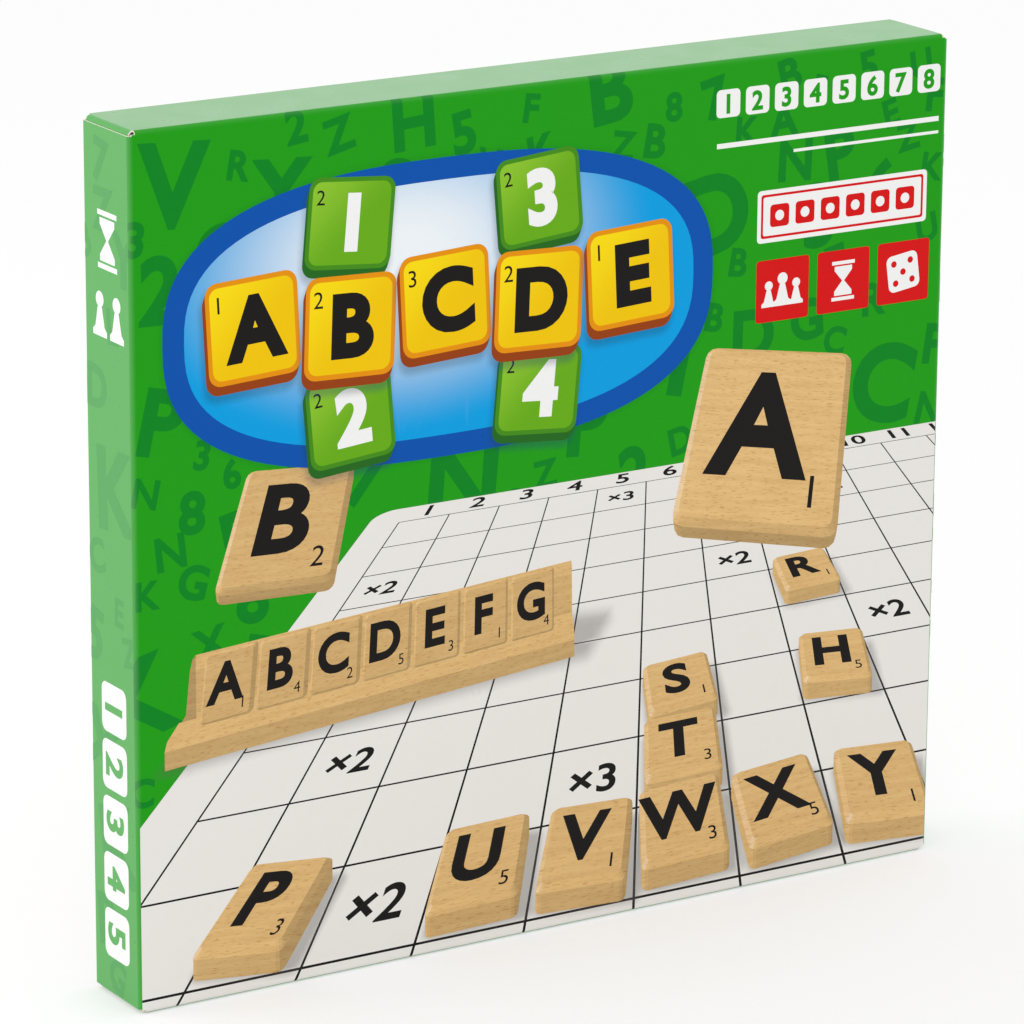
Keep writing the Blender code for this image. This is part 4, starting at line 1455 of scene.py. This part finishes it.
def make_ink(name, tiles, body, printed):
    """One sheet with the letters of some tiles. It is laid out from the frame's origin."""
    rings = []
    for low, high, number in tiles:
        middle = ((low.x + high.x) / 2 / MM, (low.z + high.z) / 2 / MM)
        rings.extend(placed(letter_rings(number), middle))
    sheet = Print(rectangle(*INK_FIELD), None)
    sheet.paint(rings, BLACK)

    def place(across, up):
        return (across * MM, tiles[0][0].y - INK_LIFT, up * MM)

    show(name, sheet.mesh(name, printed, place), body)


# Light, floor and camera


def seen_directly(tree):
    """1 for what the camera sees, straight on or in a reflection or through glass."""
    path = node(tree, "ShaderNodeLightPath").outputs
    shown = path["Is Camera Ray"]
    for kind in ("Is Glossy Ray", "Is Transmission Ray"):
        shown = node(tree, "ShaderNodeMath", {0: shown, 1: path[kind]}, operation="MAXIMUM").outputs[0]
    return shown


def make_world():
    world = bpy.data.worlds.new("white_studio")
    bpy.context.scene.world = world
    world.use_nodes = True
    tree = world.node_tree
    values = {"Value": seen_directly(tree), "To Min": AMBIENT, "To Max": 1.0}
    strength = node(tree, "ShaderNodeMapRange", values).outputs[0]
    feed(tree, tree.nodes["Background"], {"Color": (1, 1, 1, 1), "Strength": strength})


def make_floor():
    mesh = bpy.data.meshes.new("floor")
    corners = rectangle(-FLOOR_HALF, -FLOOR_HALF, FLOOR_HALF, FLOOR_HALF)
    mesh.from_pydata([(x, y, 0) for x, y in corners], [], [(0, 1, 2, 3)])
    floor = added("floor", mesh)
    floor.location.z = -FLOOR_DROP
    material, tree, shader = new_material("white_floor")
    shown = seen_directly(tree)
    colour = mix(tree, shown, (0.8, 0.8, 0.8), (1.0, 1.0, 1.0))
    feed(tree, shader, {"Base Color": colour, "Roughness": 1, "Specular IOR Level": 0})
    glow = node(tree, "ShaderNodeEmission")
    values = {0: times(tree, shown, FLOOR_GLOW_SHARE), 1: shader.outputs[0], 2: glow.outputs[0]}
    blend = node(tree, "ShaderNodeMixShader", values)
    feed(tree, tree.nodes["Material Output"], {"Surface": blend.outputs[0]})
    mesh.materials.append(material)


def area_light(name, place, target, size, power):
    light = bpy.data.lights.new(name, "AREA")
    light.shape = "RECTANGLE"
    light.size, light.size_y = size
    light.energy = power
    holder = added(name, light)
    holder.location = place
    aim = Vector(target) - Vector(place)
    holder.rotation_euler = aim.to_track_quat("-Z", "Y").to_euler()
    holder.visible_camera = False


def make_camera():
    low, high = (Vector(corner) for corner in CAD_BOX)
    width = high.x - low.x
    middle = (low + high) / 2
    yaw, pitch, roll = radians(YAW), radians(PITCH), radians(ROLL)
    back = Vector((sin(yaw) * cos(pitch), -cos(yaw) * cos(pitch), sin(pitch)))
    right = (-back).cross(Vector((0, 0, 1))).normalized()
    up = right.cross(-back)
    turned_right = right * cos(roll) + up * sin(roll)
    turned_up = up * cos(roll) - right * sin(roll)
    place = middle + width * (back * DISTANCE_SHARE + right * SHIFT_SHARES[0] + up * SHIFT_SHARES[1])
    camera = bpy.data.cameras.new("camera")
    camera.sensor_width = SENSOR
    camera.lens = FOCAL_PIXELS / PICTURE_PIXELS * SENSOR
    camera.clip_end = CLIP_END
    holder = added("camera", camera)
    turned = Matrix((turned_right, turned_up, back)).transposed().to_4x4()
    holder.matrix_world = Matrix.Translation(place) @ turned
    bpy.context.scene.camera = holder


bpy.context.scene.view_settings.view_transform = "Standard"
make_camera()
make_world()
make_floor()
for name, lamp in LAMPS.items():
    area_light(name, *lamp)

printed = printed_finish("varnished_print", 0.6)
matt_print = printed_finish("matt_print", 0)
liner = board_finish("grey_board", ink(196, 190, 180), 0.86, 0.85)
raw = board_finish("raw_board_edge", ink(248, 242, 228), 0.94, 0.9)
coated = board_finish("coated_white_board", ink(236, 235, 231), 0.97, 0.5)
plain = board_finish("plain_board", ink(206, 201, 192), 0.93, 0.7)
paper = board_finish("leaflet_paper", ink(236, 234, 229), 0.97, 0.65)
card = board_finish("playing_board_back", ink(60, 64, 66), 0.9, 0.6)

# After its outside: the outside's lining and raw edge, then the rolls' coated side with theirs
boards = (liner, raw, coated, liner, raw)

make_lid(printed, boards)
make_tray(plain, boards)
make_board_print(matt_print)
make_leaflet_print(matt_print)
make_letters(matt_print)
dress(["insert_tray"], plastic_finish())
dress(["game_board"], card)
dress(["rules_leaflet"], paper)
dress([f"rack_{number}" for number in range(1, 5)], beech_finish("rack_beech"))
places = product(range(TILE_ROWS), range(TILE_COLUMNS))
tiles = [f"tile_{row + 1}_{column + 1}" for row, column in places]
dress(tiles + ["back_tiles"], beech_finish("tile_beech"))
